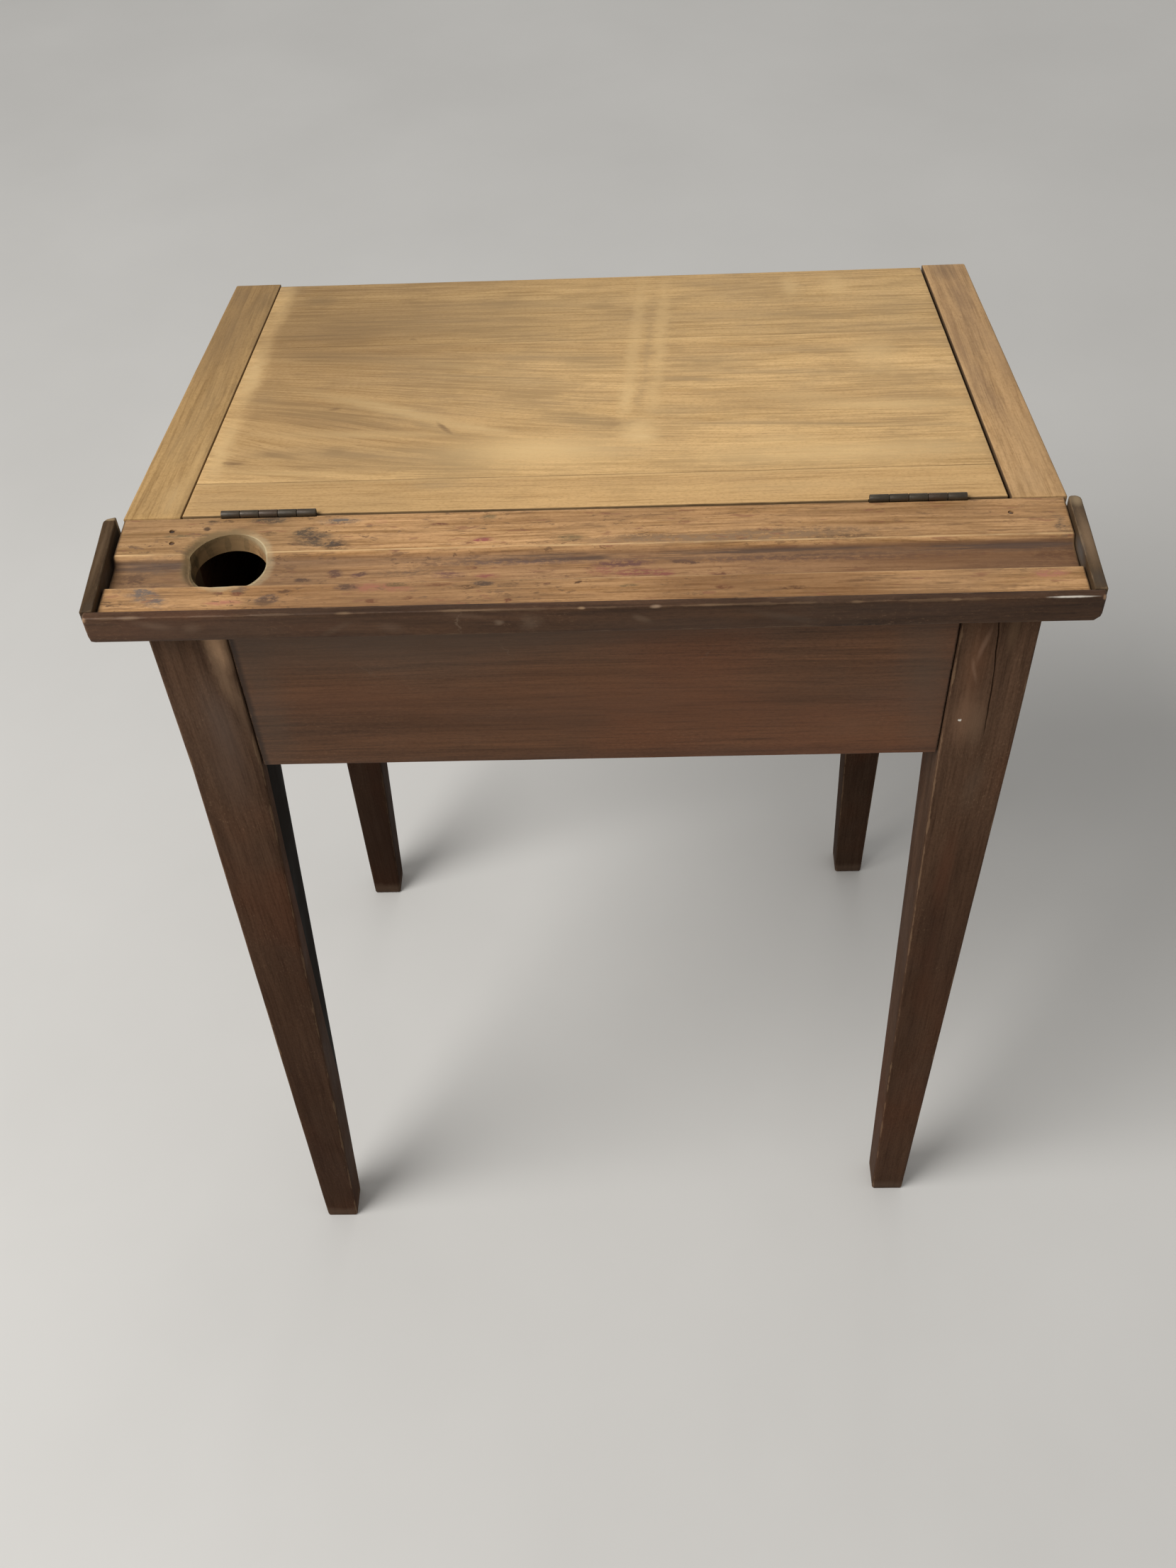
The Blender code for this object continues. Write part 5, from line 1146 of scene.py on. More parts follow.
def end_lip_extra(side, sx):
    def extra(m, color, P, wob, A, C):
        """Paler rough end, dark inner face towards the ledge (painted shade of the gap, with some dirt), grey-blue
        where the groove meets it.
        """
        y, x, z = m.split(P)
        V = m.join(x, y, z)
        x0 = 1000 * LEDGE_X[side]
        w = m.vec("SCALE", wob, scale=0.8)
        if sx < 0:
            return m.balls(color, V, w, [((x0 - 5.6, 59.3, 664), (5.4, 1.5, 9), 0.6, (0.370, 0.270, 0.160), 0.80), ((x0 - 0.6, 22, 665), (0.9, 11, 5), 0.8, (0.110, 0.100, 0.094), 0.50),
                                         ((x0 - 5.5, 30, 669.5), (1.2, 26, 0.8), 0.8, (0.140, 0.090, 0.050), 0.40), ((x0 - 3, -8, 669.5), (3, 5, 1.5), 0.9, (0.050, 0.034, 0.022), 0.55),
                                         ((x0 - 1.0, 48, 669.6), (1.6, 12, 0.9), 0.9, (0.030, 0.020, 0.012), 0.50)])
        return m.balls(color, V, w, [((x0 + 4.0, 26, 669.6), (3.4, 20, 1.2), 0.9, (0.240, 0.155, 0.090), 0.62), ((x0 + 4.2, 56, 669.2), (3.4, 5, 2.5), 0.8, (0.330, 0.240, 0.140), 0.62),
                                     ((x0 + 0.6, 22, 665), (0.9, 11, 5), 0.8, (0.130, 0.125, 0.120), 0.55), ((x0 + 4.0, -4, 669.6), (4, 7, 1.5), 0.9, (0.056, 0.044, 0.034), 0.55),
                                     ((x0 + 6.2, 30, 662), (1.0, 30, 8), 0.9, (0.120, 0.080, 0.050), 0.35)])
    return extra


dress(lip_l, stained("stained_lip_left", (0, 0, 0), "Y", 67.0, base=(0.061, 0.035, 0.0145), deep=(0.027, 0.016, 0.007), red=(0.061, 0.033, 0.014), wear=(0.22, 0.145, 0.078),
                     wear_amount=0.28, grey=0.40, greyc=(0.086, 0.062, 0.040), streak=(9, 190, 190), extra=end_lip_extra(0, -1), scratches=0.2, rough=(0.50, 0.68)),
      "desk", "stained_lip", "lip_left")
dress(lip_r, stained("stained_lip_right", (0, 0, 0), "Y", 71.0, base=(0.073, 0.045, 0.022), deep=(0.030, 0.018, 0.010), red=(0.080, 0.042, 0.022), wear=(0.28, 0.19, 0.106),
                     wear_amount=0.35, grey=0.42, greyc=(0.128, 0.090, 0.056), streak=(9, 190, 190), extra=end_lip_extra(1, 1), scratches=0.2, rough=(0.48, 0.66)),
      "desk", "stained_lip", "lip_right")

# ----------------------------------------------------------------------- legs
CRACK = [(0.6520, 0.01800), (0.6364, 0.01870), (0.6160, 0.02020), (0.5945, 0.02180), (0.5720, 0.02255), (0.5511, 0.02300), (0.5400, 0.02320)]


def make_leg(key, sx, back, seed):
    """Tapered leg. Box coordinates: a and b run in from the two outer faces, z up."""
    r = 0.0016
    y_out, sy = (0.0, 1) if back else (LEG_Y1, -1)
    dx, dy = FOOT_SHIFT[key]
    crack = key == "back_right"
    fa = list(np.linspace(0, 1, 10))
    zs = np.concatenate([[0, 0.0005, 0.0012], np.arange(0.006, Z_APRON, 0.0065), [Z_APRON - 0.0015, Z_APRON, Z_APRON + 0.0015],
                         np.arange(Z_APRON + 0.007, 0.650, 0.0065), [2.0]])
    lo_part, hi_part = [0, 0.586 * r], [0.586 * r, 0]
    na = 2 + len(fa) + 2 + (3 if crack else 0)
    nb = 2 + len(fa) + 2
    ijk, faces = grid_box(na, nb, len(zs))
    K = ijk[:, 2]
    z = zs[K].copy()
    w = np.where(z >= Z_APRON, LEG_TOP, LEG_FOOT + (LEG_TOP - LEG_FOOT) * np.minimum(z, Z_APRON) / Z_APRON)

    def along(idx, n, W, with_crack, zz):
        out = np.zeros(len(idx))
        ca = np.interp(zz, [p[0] for p in CRACK][::-1], [LEG_TOP - p[1] for p in CRACK][::-1])
        ca = ca + 0.00035 * noise(np.stack([zz * 160, zz * 0, zz * 0], 1), 9)
        names = [("lo", 0.0), ("lo", 0.586 * r)] + [("f", f) for f in fa]
        if with_crack:
            pos = 2 + 5
            names = names[:pos] + [("c", -0.00055), ("c", 0.0), ("c", 0.00055)] + names[pos:]
        names += [("hi", 0.586 * r), ("hi", 0.0)]
        for k, (kind, val) in enumerate(names):
            s = idx == k
            if kind == "lo":
                out[s] = val
            elif kind == "hi":
                out[s] = W[s] - val
            elif kind == "c":
                out[s] = np.clip(ca[s], r * 2.5, W[s] - r * 2.5) + val
            else:
                f = val
                if with_crack:
                    c = np.clip(ca[s], r * 2.5, W[s] - r * 2.5)
                    nlo = 5
                    q = fa.index(val)
                    if q < nlo:
                        out[s] = r + (c - 0.0016 - r) * q / (nlo - 1)
                    else:
                        out[s] = c + 0.0016 + (W[s] - r - c - 0.0016) * (q - nlo) / (len(fa) - 1 - nlo)
                else:
                    out[s] = r + (W[s] - 2 * r) * f
        return out

    a = along(ijk[:, 0], na, w, crack, z)
    b = along(ijk[:, 1], nb, w, False, z)
    zero = np.zeros_like(w)
    ztop = 3.0
    V = np.stack([a, b, z], 1)
    lo = np.stack([zero, zero, zero], 1)
    hi = np.stack([w, w, zero + ztop], 1)
    m = np.minimum(V - lo, hi - V)
    edge = np.sort(m, axis=1)[:, 1]
    V, D, _, _ = rounded(V, lo, hi, r)
    # local wear: stronger at the foot
    foot = np.clip(1 - z / 0.03, 0, 1)
    e = arris(D)
    kz = np.minimum(V[:, 2], 0.66)
    Vn = np.stack([V[:, 0], V[:, 1], kz], 1)
    wv = np.clip(fbm(Vn * np.array([90, 90, 26]), seed, 3) * 0.9 + 0.35, 0, 1.4) ** 1.6
    push = 0.0005 * e * wv + 0.0007 * e * foot * (0.6 + 0.4 * noise(Vn * 200, seed + 3)) + 0.00010 * (0.6 + 0.6 * fbm(Vn * 42.0, seed + 5, 3)) * (D[:, 2] > -0.5)
    V = V - D * push[:, None]
    if crack:
        front = (np.abs(D[:, 1] + 1) < 1e-3)
        c_idx = 2 + 5
        on = front & (ijk[:, 0] == c_idx + 1) & (kz > 0.541)
        depth = 0.0016 * smooth01((kz - 0.541) / 0.03) * (0.75 + 0.25 * noise(np.stack([kz * 90, kz * 0, kz * 0], 1), 8))
        V[on, 1] += depth[on]
    # to the measuring frame
    z = V[:, 2]
    t = np.clip(z / Z_APRON, 0, 1)
    x0 = sx * LEG_X + dx * (1 - t)
    y0 = y_out + dy * (1 - t)
    X = x0 - sx * V[:, 0]
    Y = y0 + sy * V[:, 1]
    top = K == len(zs) - 1
    Z = z.copy()
    Z[top] = under_z(Y[top])
    near = (~top) & (Z > under_z(Y) - 0.0015)
    Z[near] = under_z(Y[near]) - 0.0015 - 0.0001 * (len(zs) - 1 - K[near])
    edge = np.where(top, 0.02, edge)
    ob = build("wood_leg_" + key, np.stack([X, Y, Z], 1), faces, edge, 45)
    outward(ob)
    # mortises
    y_a = (APRON_INSET_Y + (APRON_T - TENON_T) / 2, APRON_INSET_Y + (APRON_T + TENON_T) / 2)
    if not back:
        y_a = (LEG_Y1 - y_a[1], LEG_Y1 - y_a[0])
    z_top = 0.6180 if back else 0.5880
    x_in = LEG_X - LEG_TOP
    c1 = solid_box("", sorted((sx * (x_in - 0.002), sx * (x_in + TENON_X + GAP))), (y_a[0] - GAP, y_a[1] + GAP), (Z_APRON + 0.010 - GAP, z_top + GAP))
    xc = LEG_X - APRON_INSET_X - APRON_T / 2
    y_in = y_out + sy * LEG_TOP
    c2 = solid_box("", sorted((sx * (xc - TENON_T / 2 - GAP), sx * (xc + TENON_T / 2 + GAP))), sorted((y_in + sy * 0.002, y_in - sy * (TENON_Y + GAP))),
                   (Z_APRON + 0.010 - GAP, z_top + GAP))
    tools = [cutter("t_m1", c1), cutter("t_m2", c2)]
    if key == "back_left":
        tools.append(cutter("t_well", turned_data([(0, 0), (0, WELL_R), (0.060, WELL_R), (0.060, 0)], 64, (WELL_C[0], WELL_C[1], WELL_Z), (0, 0, 1))))
    if not back:
        xn = -0.2200 if sx < 0 else 0.2212
        y, zz = slope_point(0.290, -0.0006)
        tools.append(cutter("t_nail", turned_data([(0, 0), (0, 0.0012), (0.0310, 0.0012), (0.0310, 0)], 16, (xn, y, zz), (0, -SN, -CS))))
    carve(ob, *tools, angle=45)
    return ob


WORN = (0.330, 0.220, 0.130)
LEG_MARKS = {  # grain along Z: first axis z, second x, third y
    # back_left: the pale patches near its top are partly wear and partly painted highlight
    "back_left": [(648, -192.0, 15, 6.5, 0, 0.9, (0.560, 0.350, 0.205), 0.74), (632, -193.0, 16, 5.5, -8, 0.9, (0.500, 0.310, 0.180), 0.66), (612, -194.5, 22, 4.0, -6, 0.95, (0.300, 0.190, 0.115), 0.42),
                  (648, -203, 9, 5.0, 0, 0.95, (0.300, 0.190, 0.120), 0.40), (575, -203, 30, 8, -4, 0.95, (0.120, 0.084, 0.066), 0.45), (540, -206, 40, 10, 0, 0.95, (0.098, 0.064, 0.048), 0.40),
                  (640, -217, 12, 5, 0, 0.9, (0.110, 0.072, 0.048), 0.30), (600, -189, 46, 2.2, 0, 0.95, (0.160, 0.098, 0.060), 0.40)],
    "back_right": [(610, 198, 30, 6, 0, 0.95, (0.190, 0.092, 0.050), 0.42), (568, 198.5, 20, 8, 4, 0.95, (0.240, 0.135, 0.082), 0.46), (622, 200.5, 12, 1.4, 10, 0.8, (0.300, 0.180, 0.120), 0.36),
                   (604, 198.0, 9, 1.0, -14, 0.8, (0.280, 0.170, 0.112), 0.34), (566.2, 195.6, 0.9, 0.9, 0, 0.4, (0.72, 0.68, 0.60), 1.0),
                   (560, 205, 16, 6, 0, 0.9, (0.170, 0.108, 0.068), 0.40), (635, 214, 18, 3, 0, 0.9, (0.210, 0.128, 0.074), 0.40), (430, 205, 40, 5, 0, 0.95, (0.125, 0.050, 0.028), 0.45),
                   (510, 210, 22, 5, 4, 0.9, (0.120, 0.080, 0.054), 0.35), (330, 208, 60, 4, 0, 0.95, (0.120, 0.056, 0.032), 0.35)],
}


def leg_extra(seed, bore_painted_dark=False):
    def extra(m, color, P, wob, A, C):
        zz, x, y = m.split(P)
        # painted shade: browner and darker lower down, away from the light under the desk
        color = m.mix(m.remap(zz, 0.580, 0.320, 0.0, 0.42), color, (0.030, 0.012, 0.006))
        # scuffed and dusty foot
        k = m.math("MULTIPLY_ADD", m.noise(P, (60, 60, 60), 3.0, 0.6, seed + 3), 0.012, zz)
        color = m.mix(m.remap(k, 0.022, 0.013, 0.0, 0.34), color, (0.140, 0.095, 0.066))
        if bore_painted_dark:
            # painted shade: the bore of the inkwell hole near black
            rad = m.well_radius(m.join(x, y, zz))
            color = m.mix(m.remap(rad, WELL_R + 0.0008, WELL_R + 0.0003), color, (0.010, 0.007, 0.005))
        return color
    return extra


LEGS = {"back_left": (-1, True), "back_right": (1, True), "front_left": (-1, False), "front_right": (1, False)}
for n, (key, (sx, back)) in enumerate(LEGS.items()):
    ob = make_leg(key, sx, back, 80 + 7 * n)
    # painted light and shade: each leg's stain is scaled lighter or darker by how much light reaches it
    light_and_shade_scale = (1.40 if sx > 0 else 1.32) if back else (1.10 if sx > 0 else 0.52)
    mat = stained("stained_leg_" + key, (0, 0, 0), "Z", 81.0 + 9 * n, base=scaled((0.066, 0.037, 0.0225) if back else (0.060, 0.039, 0.026), light_and_shade_scale), deep=scaled((0.035, 0.019, 0.012), light_and_shade_scale), red=scaled((0.080, 0.035, 0.019), light_and_shade_scale),
                  wear=scaled((0.28, 0.180, 0.105), light_and_shade_scale), wear_amount=0.30, grey=0.26, greyc=scaled((0.076, 0.051, 0.036), light_and_shade_scale), streak=(5, 120, 120), marks=LEG_MARKS.get(key, ()),
                  extra=leg_extra(90.0 + n, key == "back_left"), scratches=0.24, rough=(0.62, 0.80), specular=0.03)
    dress(ob, mat, "desk", "stained_leg", "leg_" + key)

# --------------------------------------------------------------------- aprons
X_IN = LEG_X - LEG_TOP - GAP


def apron_shape_z(V, y_of):
    """Stretches the top of the block up to the boards."""
    V = V.copy()
    top = under_z(y_of(V))
    k = (V[:, 2] - Z_APRON) / (1.0 - Z_APRON)
    V[:, 2] = Z_APRON + k * (top - Z_APRON)
    return V


def cross_apron(name, back, seed):
    y0, y1 = (APRON_INSET_Y, APRON_INSET_Y + APRON_T) if back else (LEG_Y1 - APRON_INSET_Y - APRON_T, LEG_Y1 - APRON_INSET_Y)
    z1 = Z_UNDER if back else float(under_z(np.array([y1]))[0])

    def shape(V):
        if back:
            return V
        V = V.copy()
        k = (V[:, 2] - Z_APRON) / (z1 - Z_APRON)
        V[:, 2] = V[:, 2] + (under_z(V[:, 1]) - z1) * np.clip(k, 0, 1)
        return V

    ob = block(name, (-X_IN, X_IN), (y0, y1), (Z_APRON, z1), 0.0011, (0.0055, 0.0045, 0.0055), seed, shape, wear=0.0005, dent=0.00014)
    outward(ob)
    yc = (y0 + y1) / 2
    t = [solid_box("", sorted((sx * (X_IN - 0.010), sx * (LEG_X - LEG_TOP + TENON_X - GAP))), (yc - TENON_T / 2, yc + TENON_T / 2), (Z_APRON + 0.010, 0.6180 if back else 0.5880))
         for sx in (-1, 1)]
    carve(ob, cutter("t_tenons", *t), operation="UNION")
    if back:
        carve(ob, cutter("t_well", turned_data([(0, 0), (0, WELL_R), (0.060, WELL_R), (0.060, 0)], 64, (WELL_C[0], WELL_C[1], WELL_Z), (0, 0, 1))))
    return ob


def side_apron(name, sx, seed):
    x0, x1 = sorted((sx * (LEG_X - APRON_INSET_X), sx * (LEG_X - APRON_INSET_X - APRON_T)))
    y0, y1 = LEG_TOP + GAP, LEG_Y1 - LEG_TOP - GAP

    def shape(V):
        V = V.copy()
        k = (V[:, 2] - Z_APRON) / (Z_UNDER - Z_APRON)
        V[:, 2] = V[:, 2] + (under_z(V[:, 1]) - Z_UNDER) * np.clip(k, 0, 1)
        return V

    ob = block(name, (x0, x1), (y0, y1), (Z_APRON, Z_UNDER), 0.0011, (0.0045, 0.0055, 0.0055), seed, shape, wear=0.0005, dent=0.00014,
               extra=((), (Y_JOINT + 0.0002,), ()), along=(90, 30, 90))
    outward(ob)
    xc = (x0 + x1) / 2
    t = [solid_box("", (xc - TENON_T / 2, xc + TENON_T / 2), (LEG_TOP - TENON_Y + GAP, y0 + 0.010), (Z_APRON + 0.010, 0.6180)),
         solid_box("", (xc - TENON_T / 2, xc + TENON_T / 2), (y1 - 0.010, LEG_Y1 - LEG_TOP + TENON_Y - GAP), (Z_APRON + 0.010, 0.5880))]
    carve(ob, cutter("t_tenons", *t), operation="UNION")
    xn = -0.2200 if sx < 0 else 0.2212
    parts = []
    for s in (0.035, 0.160):
        y, z = slope_point(s, -0.0006)
        parts.append(turned_data([(0, 0), (0, 0.0012), (0.0310, 0.0012), (0.0310, 0)], 16, (xn, y, z), (0, -SN, -CS)))
    for (x, y) in NAILS.values():
        if x * sx > 0:
            parts.append(turned_data([(0, 0), (0, 0.0012), (0.0310, 0.0012), (0.0310, 0)], 16, (x, y, Z_LEDGE), (0, 0, -1)))
    carve(ob, cutter("t_nails", *parts))
    return ob


def apron_extra(m, color, P, wob, A, C):
    """Greyer along the top and the ends, redder in the middle, a painted shadow of the legs beside them, the bore of
    the inkwell hole painted near black as shade.
    """
    x, y, z = m.split(P)
    F = m.join(x, z, 0.0)
    color = m.ellipses(color, F, wob, [
        (-95, 632, 120, 22, 0, 0.95, (0.130, 0.083, 0.055), 0.50), (-60, 640, 170, 12, 0, 0.95, (0.125, 0.080, 0.052), 0.50), (-176, 600, 12, 60, 0, 0.95, (0.082, 0.054, 0.036), 0.45),
        (176, 590, 15, 70, 8, 0.95, (0.092, 0.062, 0.042), 0.45), (20, 580, 130, 30, 0, 0.95, (0.126, 0.053, 0.024), 0.45), (-130, 590, 50, 12, 0, 0.95, (0.120, 0.050, 0.025), 0.38),
        (150, 560, 40, 14, 0, 0.95, (0.142, 0.072, 0.038), 0.30), (60, 543, 150, 4, 0, 0.95, (0.056, 0.028, 0.017), 0.35), (-44, 625, 0.4, 7, 28, 0.7, (0.190, 0.125, 0.080), 0.30),
        (-120, 612, 0.4, 9, 40, 0.7, (0.170, 0.115, 0.075), 0.25), (60, 618, 0.4, 8, -30, 0.7, (0.160, 0.105, 0.070), 0.25)])
    # painted shadow cast by the legs on the ends of the apron
    d = m.math("MULTIPLY_ADD", A, 0.0016, x)
    color = m.mix(m.remap(d, -0.1812, -0.1842, 0.0, 0.78), color, (0.030, 0.018, 0.012))
    color = m.mix(m.remap(d, 0.1862, 0.1874, 0.0, 0.80), color, (0.026, 0.016, 0.011))
    # painted shade: the bore of the inkwell hole near black
    rad = m.well_radius(P)
    return m.mix(m.remap(rad, WELL_R + 0.0008, WELL_R + 0.0003), color, (0.010, 0.007, 0.005))


a_back = cross_apron("wood_apron_back", True, 101)
dress(a_back, stained("stained_apron_back", (0, 0, 0), "X", 111.0, base=(0.120, 0.054, 0.025), deep=(0.066, 0.030, 0.014), red=(0.140, 0.052, 0.022), wear=(0.27, 0.165, 0.095),
                      wear_amount=0.25, grey=0.18, greyc=(0.096, 0.068, 0.048), streak=(5, 260, 260), extra=apron_extra, scratches=0.18, rough=(0.46, 0.62)),
      "desk", "stained_apron", "apron_back")
a_front = cross_apron("wood_apron_front", False, 103)
dress(a_front, stained("stained_apron_front", (0, 0, 0), "X", 121.0, base=(0.110, 0.055, 0.030), deep=(0.058, 0.030, 0.018), streak=(5, 240, 240), grey=0.26, wear_amount=0.3,
                       scratches=0.25), "desk", "stained_apron", "apron_front")
for side, sx, sd in (("left", -1, 131.0), ("right", 1, 141.0)):
    ob = side_apron("wood_apron_" + side, sx, int(sd))
    dress(ob, stained("stained_apron_" + side, (0, 0, 0), "Y", sd, base=(0.106, 0.054, 0.030), deep=(0.056, 0.029, 0.018), streak=(5, 240, 240), grey=0.26, wear_amount=0.3,
                      scratches=0.25, rough=(0.62, 0.80), specular=0.03), "desk", "stained_leg", "apron_" + side)

# ------------------------------------------------- floor of the compartment
INNER_X = LEG_X - APRON_INSET_X - APRON_T
INNER_Y0, INNER_Y1 = APRON_INSET_Y + APRON_T, LEG_Y1 - APRON_INSET_Y - APRON_T
for side, sx in (("left", -1), ("right", 1)):
    X = sorted((sx * (INNER_X - GAP), sx * (INNER_X - GAP - CLEAT)))
    ob = block("wood_cleat_" + side, X, (LEG_TOP + 2 * GAP, LEG_Y1 - LEG_TOP - 2 * GAP), (FLOOR_Z - GAP - CLEAT, FLOOR_Z - GAP), 0.0008, (0.004, 0.006, 0.004), 151 + sx,
               wear=0.0004, dent=0.00015, along=(90, 30, 90))
    dress(ob, raw("raw_cleat_" + side, (sx * 0.2, 0, FLOOR_Z), "Y", 5.0 + sx), "desk", "raw_softwood", "bottom_cleat_" + side)
by = [INNER_Y0 + 0.0005 + k * (INNER_Y1 - INNER_Y0 - 0.0010) / 3 for k in range(4)]
for k, part in enumerate(("back", "middle", "front")):
    ob = block("wood_bottom_" + part, (-INNER_X + 0.0006, INNER_X - 0.0006), (by[k] + 0.0002, by[k + 1] - 0.0002), (FLOOR_Z, FLOOR_Z + FLOOR_T), 0.0008,
               (0.007, 0.006, 0.004), 161 + k, wear=0.0004, dent=0.00018)
    if part != "middle":
        ys = (0.0, LEG_TOP + 0.0008) if part == "back" else (LEG_Y1 - LEG_TOP - 0.0008, LEG_Y1)
        cuts = [solid_box("", sorted((sx * (LEG_X - LEG_TOP - 0.0008), sx * LEG_X)), ys, (FLOOR_Z - 0.005, FLOOR_Z + FLOOR_T + 0.005)) for sx in (-1, 1)]
        carve(ob, cutter("t_notch", *cuts))
    dress(ob, raw("raw_bottom_" + part, (0, by[k] + 0.05, FLOOR_Z), "X", 11.0 + 3 * k), "desk", "raw_softwood", "bottom_board_" + part)

# --------------------------------------------------------------- lid battens
for side, xc in zip(("left", "right"), BATTEN_X):
    n1 = -T - GAP
    ob = block("wood_batten_" + side, (xc - BATTEN_W / 2, xc + BATTEN_W / 2), BATTEN_S, (n1 - BATTEN_T, n1), 0.0012, (0.004, 0.005, 0.004), 171 + int(xc * 100), from_slope,
               wear=0.0005, dent=0.00015, along=(90, 30, 90))
    carve(ob, cutter("t_screws", *[screw_cut(xc, s) for s in BATTEN_SCREWS]))
    dress(ob, raw("raw_batten_" + side, (xc, Y_JOINT, Z_LEDGE), "Y", 21.0 + xc * 10, kind="slope"), "lid", "raw_softwood", "lid_batten_" + side)

# --------------------------------------------------------------------- screws
steel_old = iron("old_steel", 5.0, base=(0.150, 0.135, 0.115), rust=(0.130, 0.070, 0.038), shine=(0.42, 0.40, 0.37), metallic=0.8)
iron_fixed = iron("old_iron_a", 1.0, base=(0.042, 0.031, 0.018), rust=(0.052, 0.028, 0.014), shine=(0.100, 0.078, 0.050), metallic=0.20)
iron_moving = iron("old_iron_b", 2.0, base=(0.042, 0.031, 0.018), rust=(0.050, 0.028, 0.015), shine=(0.100, 0.078, 0.052), metallic=0.20)


def screw(name, node, origin, direction, head_r, head_h, shank_r, length, slot_turn, body):
    """Countersunk slotted screw; origin is the centre of its head."""
    d = Vector(direction).normalized()
    prof = [(0, 0), (0.0, head_r * 0.55), (0.00004, head_r * 0.93), (0.00022, head_r), (0.00036, head_r * 0.985), (head_h, shank_r * 1.12), (head_h + 0.0004, shank_r)]
    n = int((length - head_h - 0.004) / 0.0007)
    z = head_h + 0.0012
    for k in range(n):                # thread seen as rings
        prof += [(z, shank_r * 0.84), (z + 0.00030, shank_r), (z + 0.00040, shank_r), (z + 0.0007, shank_r * 0.84)]
        z += 0.0007
    prof = [p for p in prof if p[0] < length - 0.0024] + [(length - 0.0022, shank_r * 0.8), (length - 0.0002, shank_r * 0.18), (length, 0)]
    V, F = turned_data(prof, 20, origin, d)
    ob = outward(build(name, V, F, angle=35))
    # slot
    o = Vector(origin)
    side = Vector((1, 0, 0)) if abs(d.x) < 0.9 else Vector((0, 1, 0))
    a = d.cross(side).normalized()
    b = d.cross(a)
    ax = a * cos(slot_turn) + b * sin(slot_turn)
    bx = d.cross(ax)
    ijk, faces = grid_box(2, 2, 2)
    L, Wd, dep = head_r * 1.3, head_r * 0.13, head_h * 0.42
    C = np.array([list(o + ax * (L if i else -L) + bx * (Wd if j else -Wd) + d * (dep if k else -0.001)) for i, j, k in ijk])
    carve(ob, cutter("t_slot", (C, faces)), angle=35)
    dress(ob, steel_old, body, "fastener", node)
    return ob


for side, xc in zip(("left", "right"), BATTEN_X):
    for k, s in enumerate(BATTEN_SCREWS):
        y, z = slope_point(s, -T - GAP - BATTEN_T)
        o = Vector((xc, y, z)) + up * 0.0003
        screw("screw_lid_%s_%d" % (side, k + 1), "lid_screw_%s_%d" % (side, k + 1), o, up, 0.0027, 0.0017, 0.0013, 0.0182, 0.4 + 1.1 * k + (0.7 if xc > 0 else 0), "lid")
for side, hx in zip(("left", "right"), HINGE_X):
    for k, dx in enumerate((-0.0165, 0.0, 0.0165)):
        for kind, sy, body in (("fixed", -1, "desk"), ("moving", 1, "lid")):
            o = (hx + dx, Y_JOINT + sy * 0.00032, SCREW_Z)
            screw("screw_%s_%s_%d" % (kind, side, k + 1), "hinge_screw_%s_%s_%d" % (kind, side, k + 1), o, (0, sy, 0), 0.0021, 0.0011, 0.0010, 0.0113, 0.9 * k + sy, body)

# --------------------------------------------------------------------- hinges
KN = HINGE_L / 5


def leaf(name, hx, sy, own, mat, body, node):
    x0 = hx - HINGE_L / 2
    top_in, top_out = AXIS_Z - BORE_R - 0.0001, AXIS_Z - BARREL_R - 0.0004
    outline = [(x0 + 0.0001, LEAF_BOTTOM), (x0 + HINGE_L - 0.0001, LEAF_BOTTOM)]
    for k in range(4, -1, -1):
        z = top_in if k in own else top_out
        inset = 0.0003 if k in own else -0.0003
        outline.append((x0 + (k + 1) * KN - (inset if k < 4 else 0.0001), z))
        outline.append((x0 + k * KN + (inset if k > 0 else 0.0001), z))
    y_face = Y_JOINT + sy * 0.0002
    ys = sorted((y_face, y_face + sy * LEAF_T))
    ob = outward(build(name, *prism_data(outline, "Y", ys[0], ys[1]), angle=35))
    knuckles = []
    for k in own:
        a = x0 + k * KN + (0.00015 if k else 0.0)
        b = x0 + (k + 1) * KN - (0.00015 if k < 4 else 0.0)
        e = 0.00022
        knuckles.append(turned_data([(0, 0), (0, BARREL_R - e), (e * 0.3, BARREL_R - e * 0.3), (e, BARREL_R), (b - a - e, BARREL_R), (b - a - e * 0.3, BARREL_R - e * 0.3),
                                     (b - a, BARREL_R - e), (b - a, 0)], 40, (a, Y_JOINT, AXIS_Z), (1, 0, 0)))
    carve(ob, cutter("t_knuckles", *knuckles), operation="UNION", angle=35)
    bore = turned_data([(0, 0), (0, BORE_R), (HINGE_L + 0.004, BORE_R), (HINGE_L + 0.004, 0)], 32, (x0 - 0.002, Y_JOINT, AXIS_Z), (1, 0, 0))
    sinks = [turned_data([(-0.0005, 0), (-0.0005, 0.0027), (0.0000, 0.0025), (0.0012, 0.0013), (0.0120, 0.0013), (0.0120, 0)], 24,
                         (hx + dx, Y_JOINT + sy * 0.0002, SCREW_Z), (0, sy, 0)) for dx in (-0.0165, 0.0, 0.0165)]
    carve(ob, cutter("t_bore", bore), cutter("t_sinks", *sinks), angle=35)
    dress(ob, mat, body, "iron", node)


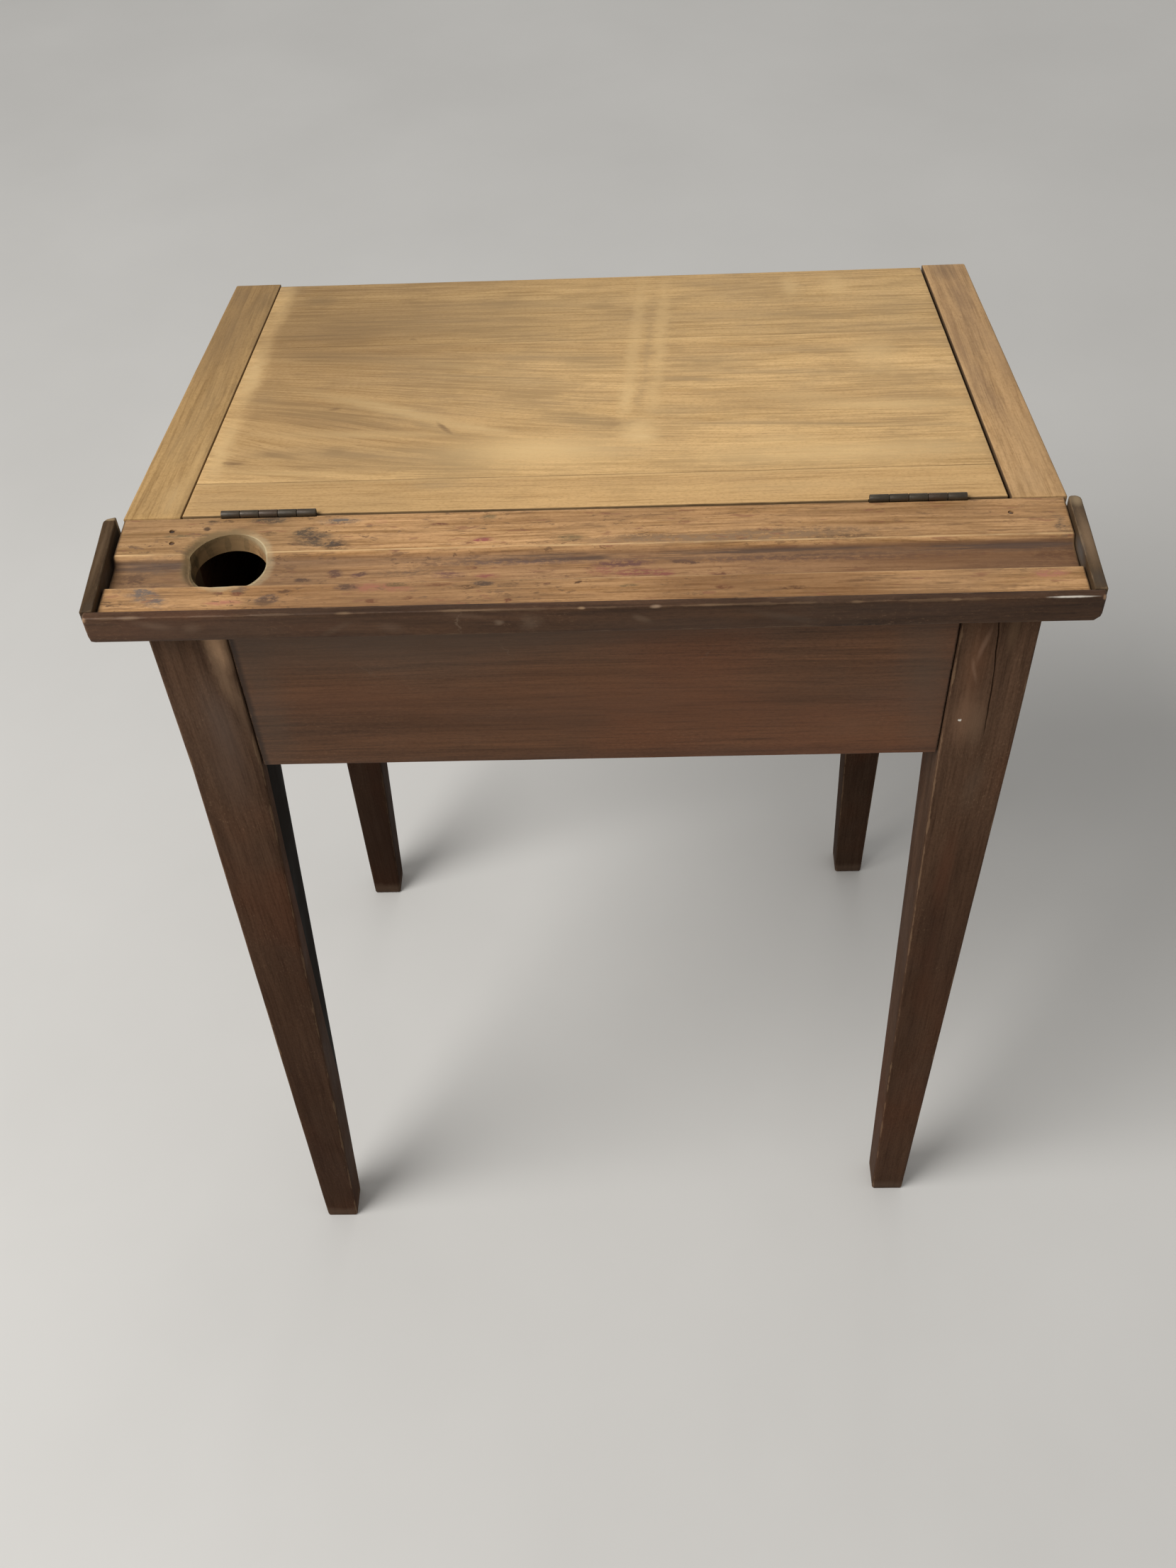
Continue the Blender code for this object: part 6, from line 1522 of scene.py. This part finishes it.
for side, hx in zip(("left", "right"), HINGE_X):
    leaf("leaf_fixed_" + side, hx, -1, (0, 2, 4), iron_fixed, "desk", "hinge_leaf_fixed_" + side)
    leaf("leaf_moving_" + side, hx, 1, (1, 3), iron_moving, "lid", "hinge_leaf_moving_" + side)
    V, F = turned_data([(0, 0), (0.0, 0.0004), (0.00015, 0.0008), (0.0005, PIN_R), (HINGE_L - 0.0005, PIN_R), (HINGE_L - 0.00015, 0.0008), (HINGE_L, 0.0004), (HINGE_L, 0)], 24,
                       (hx - HINGE_L / 2, Y_JOINT, AXIS_Z), (1, 0, 0))
    dress(outward(build("pin_" + side, V, F, angle=35)), steel_old, "desk", "iron", "hinge_pin_" + side)

# ---------------------------------------------------------------------- nails
nail_mat = iron("old_nail", 9.0, base=(0.050, 0.030, 0.019), rust=(0.075, 0.034, 0.018), shine=(0.12, 0.085, 0.060), metallic=0.3)
nail_rust = iron("old_nail_rust", 12.0, base=(0.115, 0.060, 0.032), rust=(0.130, 0.060, 0.028), shine=(0.17, 0.11, 0.07), metallic=0.2)
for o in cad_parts.values():
    if o.name.startswith("side_nail"):
        o.data.materials.clear()
        o.data.materials.append(nail_mat)
for key, (x, y) in NAILS.items():
    head = [(0, 0), (0.00001, 0.0007), (0.00012, 0.0011), (0.00035, 0.00125), (0.0008, 0.00122), (0.0012, 0.0009), (0.0016, 0.00085), (0.0240, 0.00085), (0.0282, 0.0002), (0.0284, 0)]
    V, F = turned_data(head, 20, (x, y, Z_LEDGE - 0.0006), (0, 0, -1))
    V = V + (0.00006 * noise(V * 900.0, 77))[:, None] * np.array([1.0, 1.0, 0.0])
    dress(outward(build("nail_" + key, V, F, angle=35)), nail_mat if key.endswith("left_1") else nail_rust, "desk", "fastener", key)

# ---------------------------------------------------------------------- stage
fm = Mat("pale_floor")
FP = fm.node("ShaderNodeTexCoord").outputs["Object"]
fcol = fm.ramp(fm.noise(FP, (3, 3, 3), 4.0, 0.55, 1.0), [(0.3, (0.60, 0.595, 0.58)), (0.7, (0.635, 0.63, 0.615))])
fmat = fm.finish(fcol, 0.75, specular=0.2)
mesh = bpy.data.meshes.new("floor")
mesh.from_pydata([(-9, -9, 0), (9, -9, 0), (9, 14, 0), (-9, 14, 0)], [], [(0, 1, 2, 3)])
floor = bpy.data.objects.new("floor", mesh)
bpy.context.scene.collection.objects.link(floor)
mesh.materials.append(fmat)

world = bpy.data.worlds.new("studio")
bpy.context.scene.world = world
world.use_nodes = True
bg = world.node_tree.nodes["Background"]
bg.inputs["Color"].default_value = (1.0, 0.985, 0.96, 1.0)
bg.inputs["Strength"].default_value = 0.40


def area(name, loc, target, size, power, color=(1, 1, 1)):
    L = bpy.data.lights.new(name, "AREA")
    L.shape = "DISK"
    L.size = size
    L.energy = power
    L.color = color
    ob = bpy.data.objects.new(name, L)
    bpy.context.scene.collection.objects.link(ob)
    ob.location = loc
    ob.rotation_euler = (Vector(target) - Vector(loc)).to_track_quat("-Z", "Y").to_euler()
    return ob


area("key", (-1.50, -1.00, 2.55), (0, 0, 0.45), 1.6, 68, (1.0, 0.98, 0.95))

area("far_floor", (0.4, 6.0, 3.6), (0.3, 6.3, 0), 3.0, 70, (1.0, 0.99, 0.97))

# --------------------------------------------------------------------- camera
cam_data = bpy.data.cameras.new("camera")
cam = bpy.data.objects.new("camera", cam_data)
bpy.context.scene.collection.objects.link(cam)
F_PX, W_PX, H_PX = 2260.3372, 1659, 2212
pitch, roll, yaw = -0.857, -0.0607, -0.0555
fwd = Vector((sin(yaw) * cos(pitch), cos(yaw) * cos(pitch), sin(pitch)))
right = Vector((cos(yaw), -sin(yaw), 0.0))
upv = right.cross(fwd)
r2 = right * cos(roll) + upv * sin(roll)
u2 = -right * sin(roll) + upv * cos(roll)
rot = Matrix((r2, u2, -fwd)).transposed().to_4x4()
cam.matrix_world = Matrix.Translation((0.0267 + OX, -0.5904 + OY, 1.2022)) @ rot
cam_data.sensor_fit = "VERTICAL"
cam_data.sensor_height = 24.0
cam_data.lens = F_PX / H_PX * 24.0
cam_data.clip_start = 0.02
cam_data.clip_end = 60
bpy.context.scene.camera = cam
bpy.context.scene.view_settings.view_transform = "Standard"
bpy.context.scene.view_settings.look = "None"
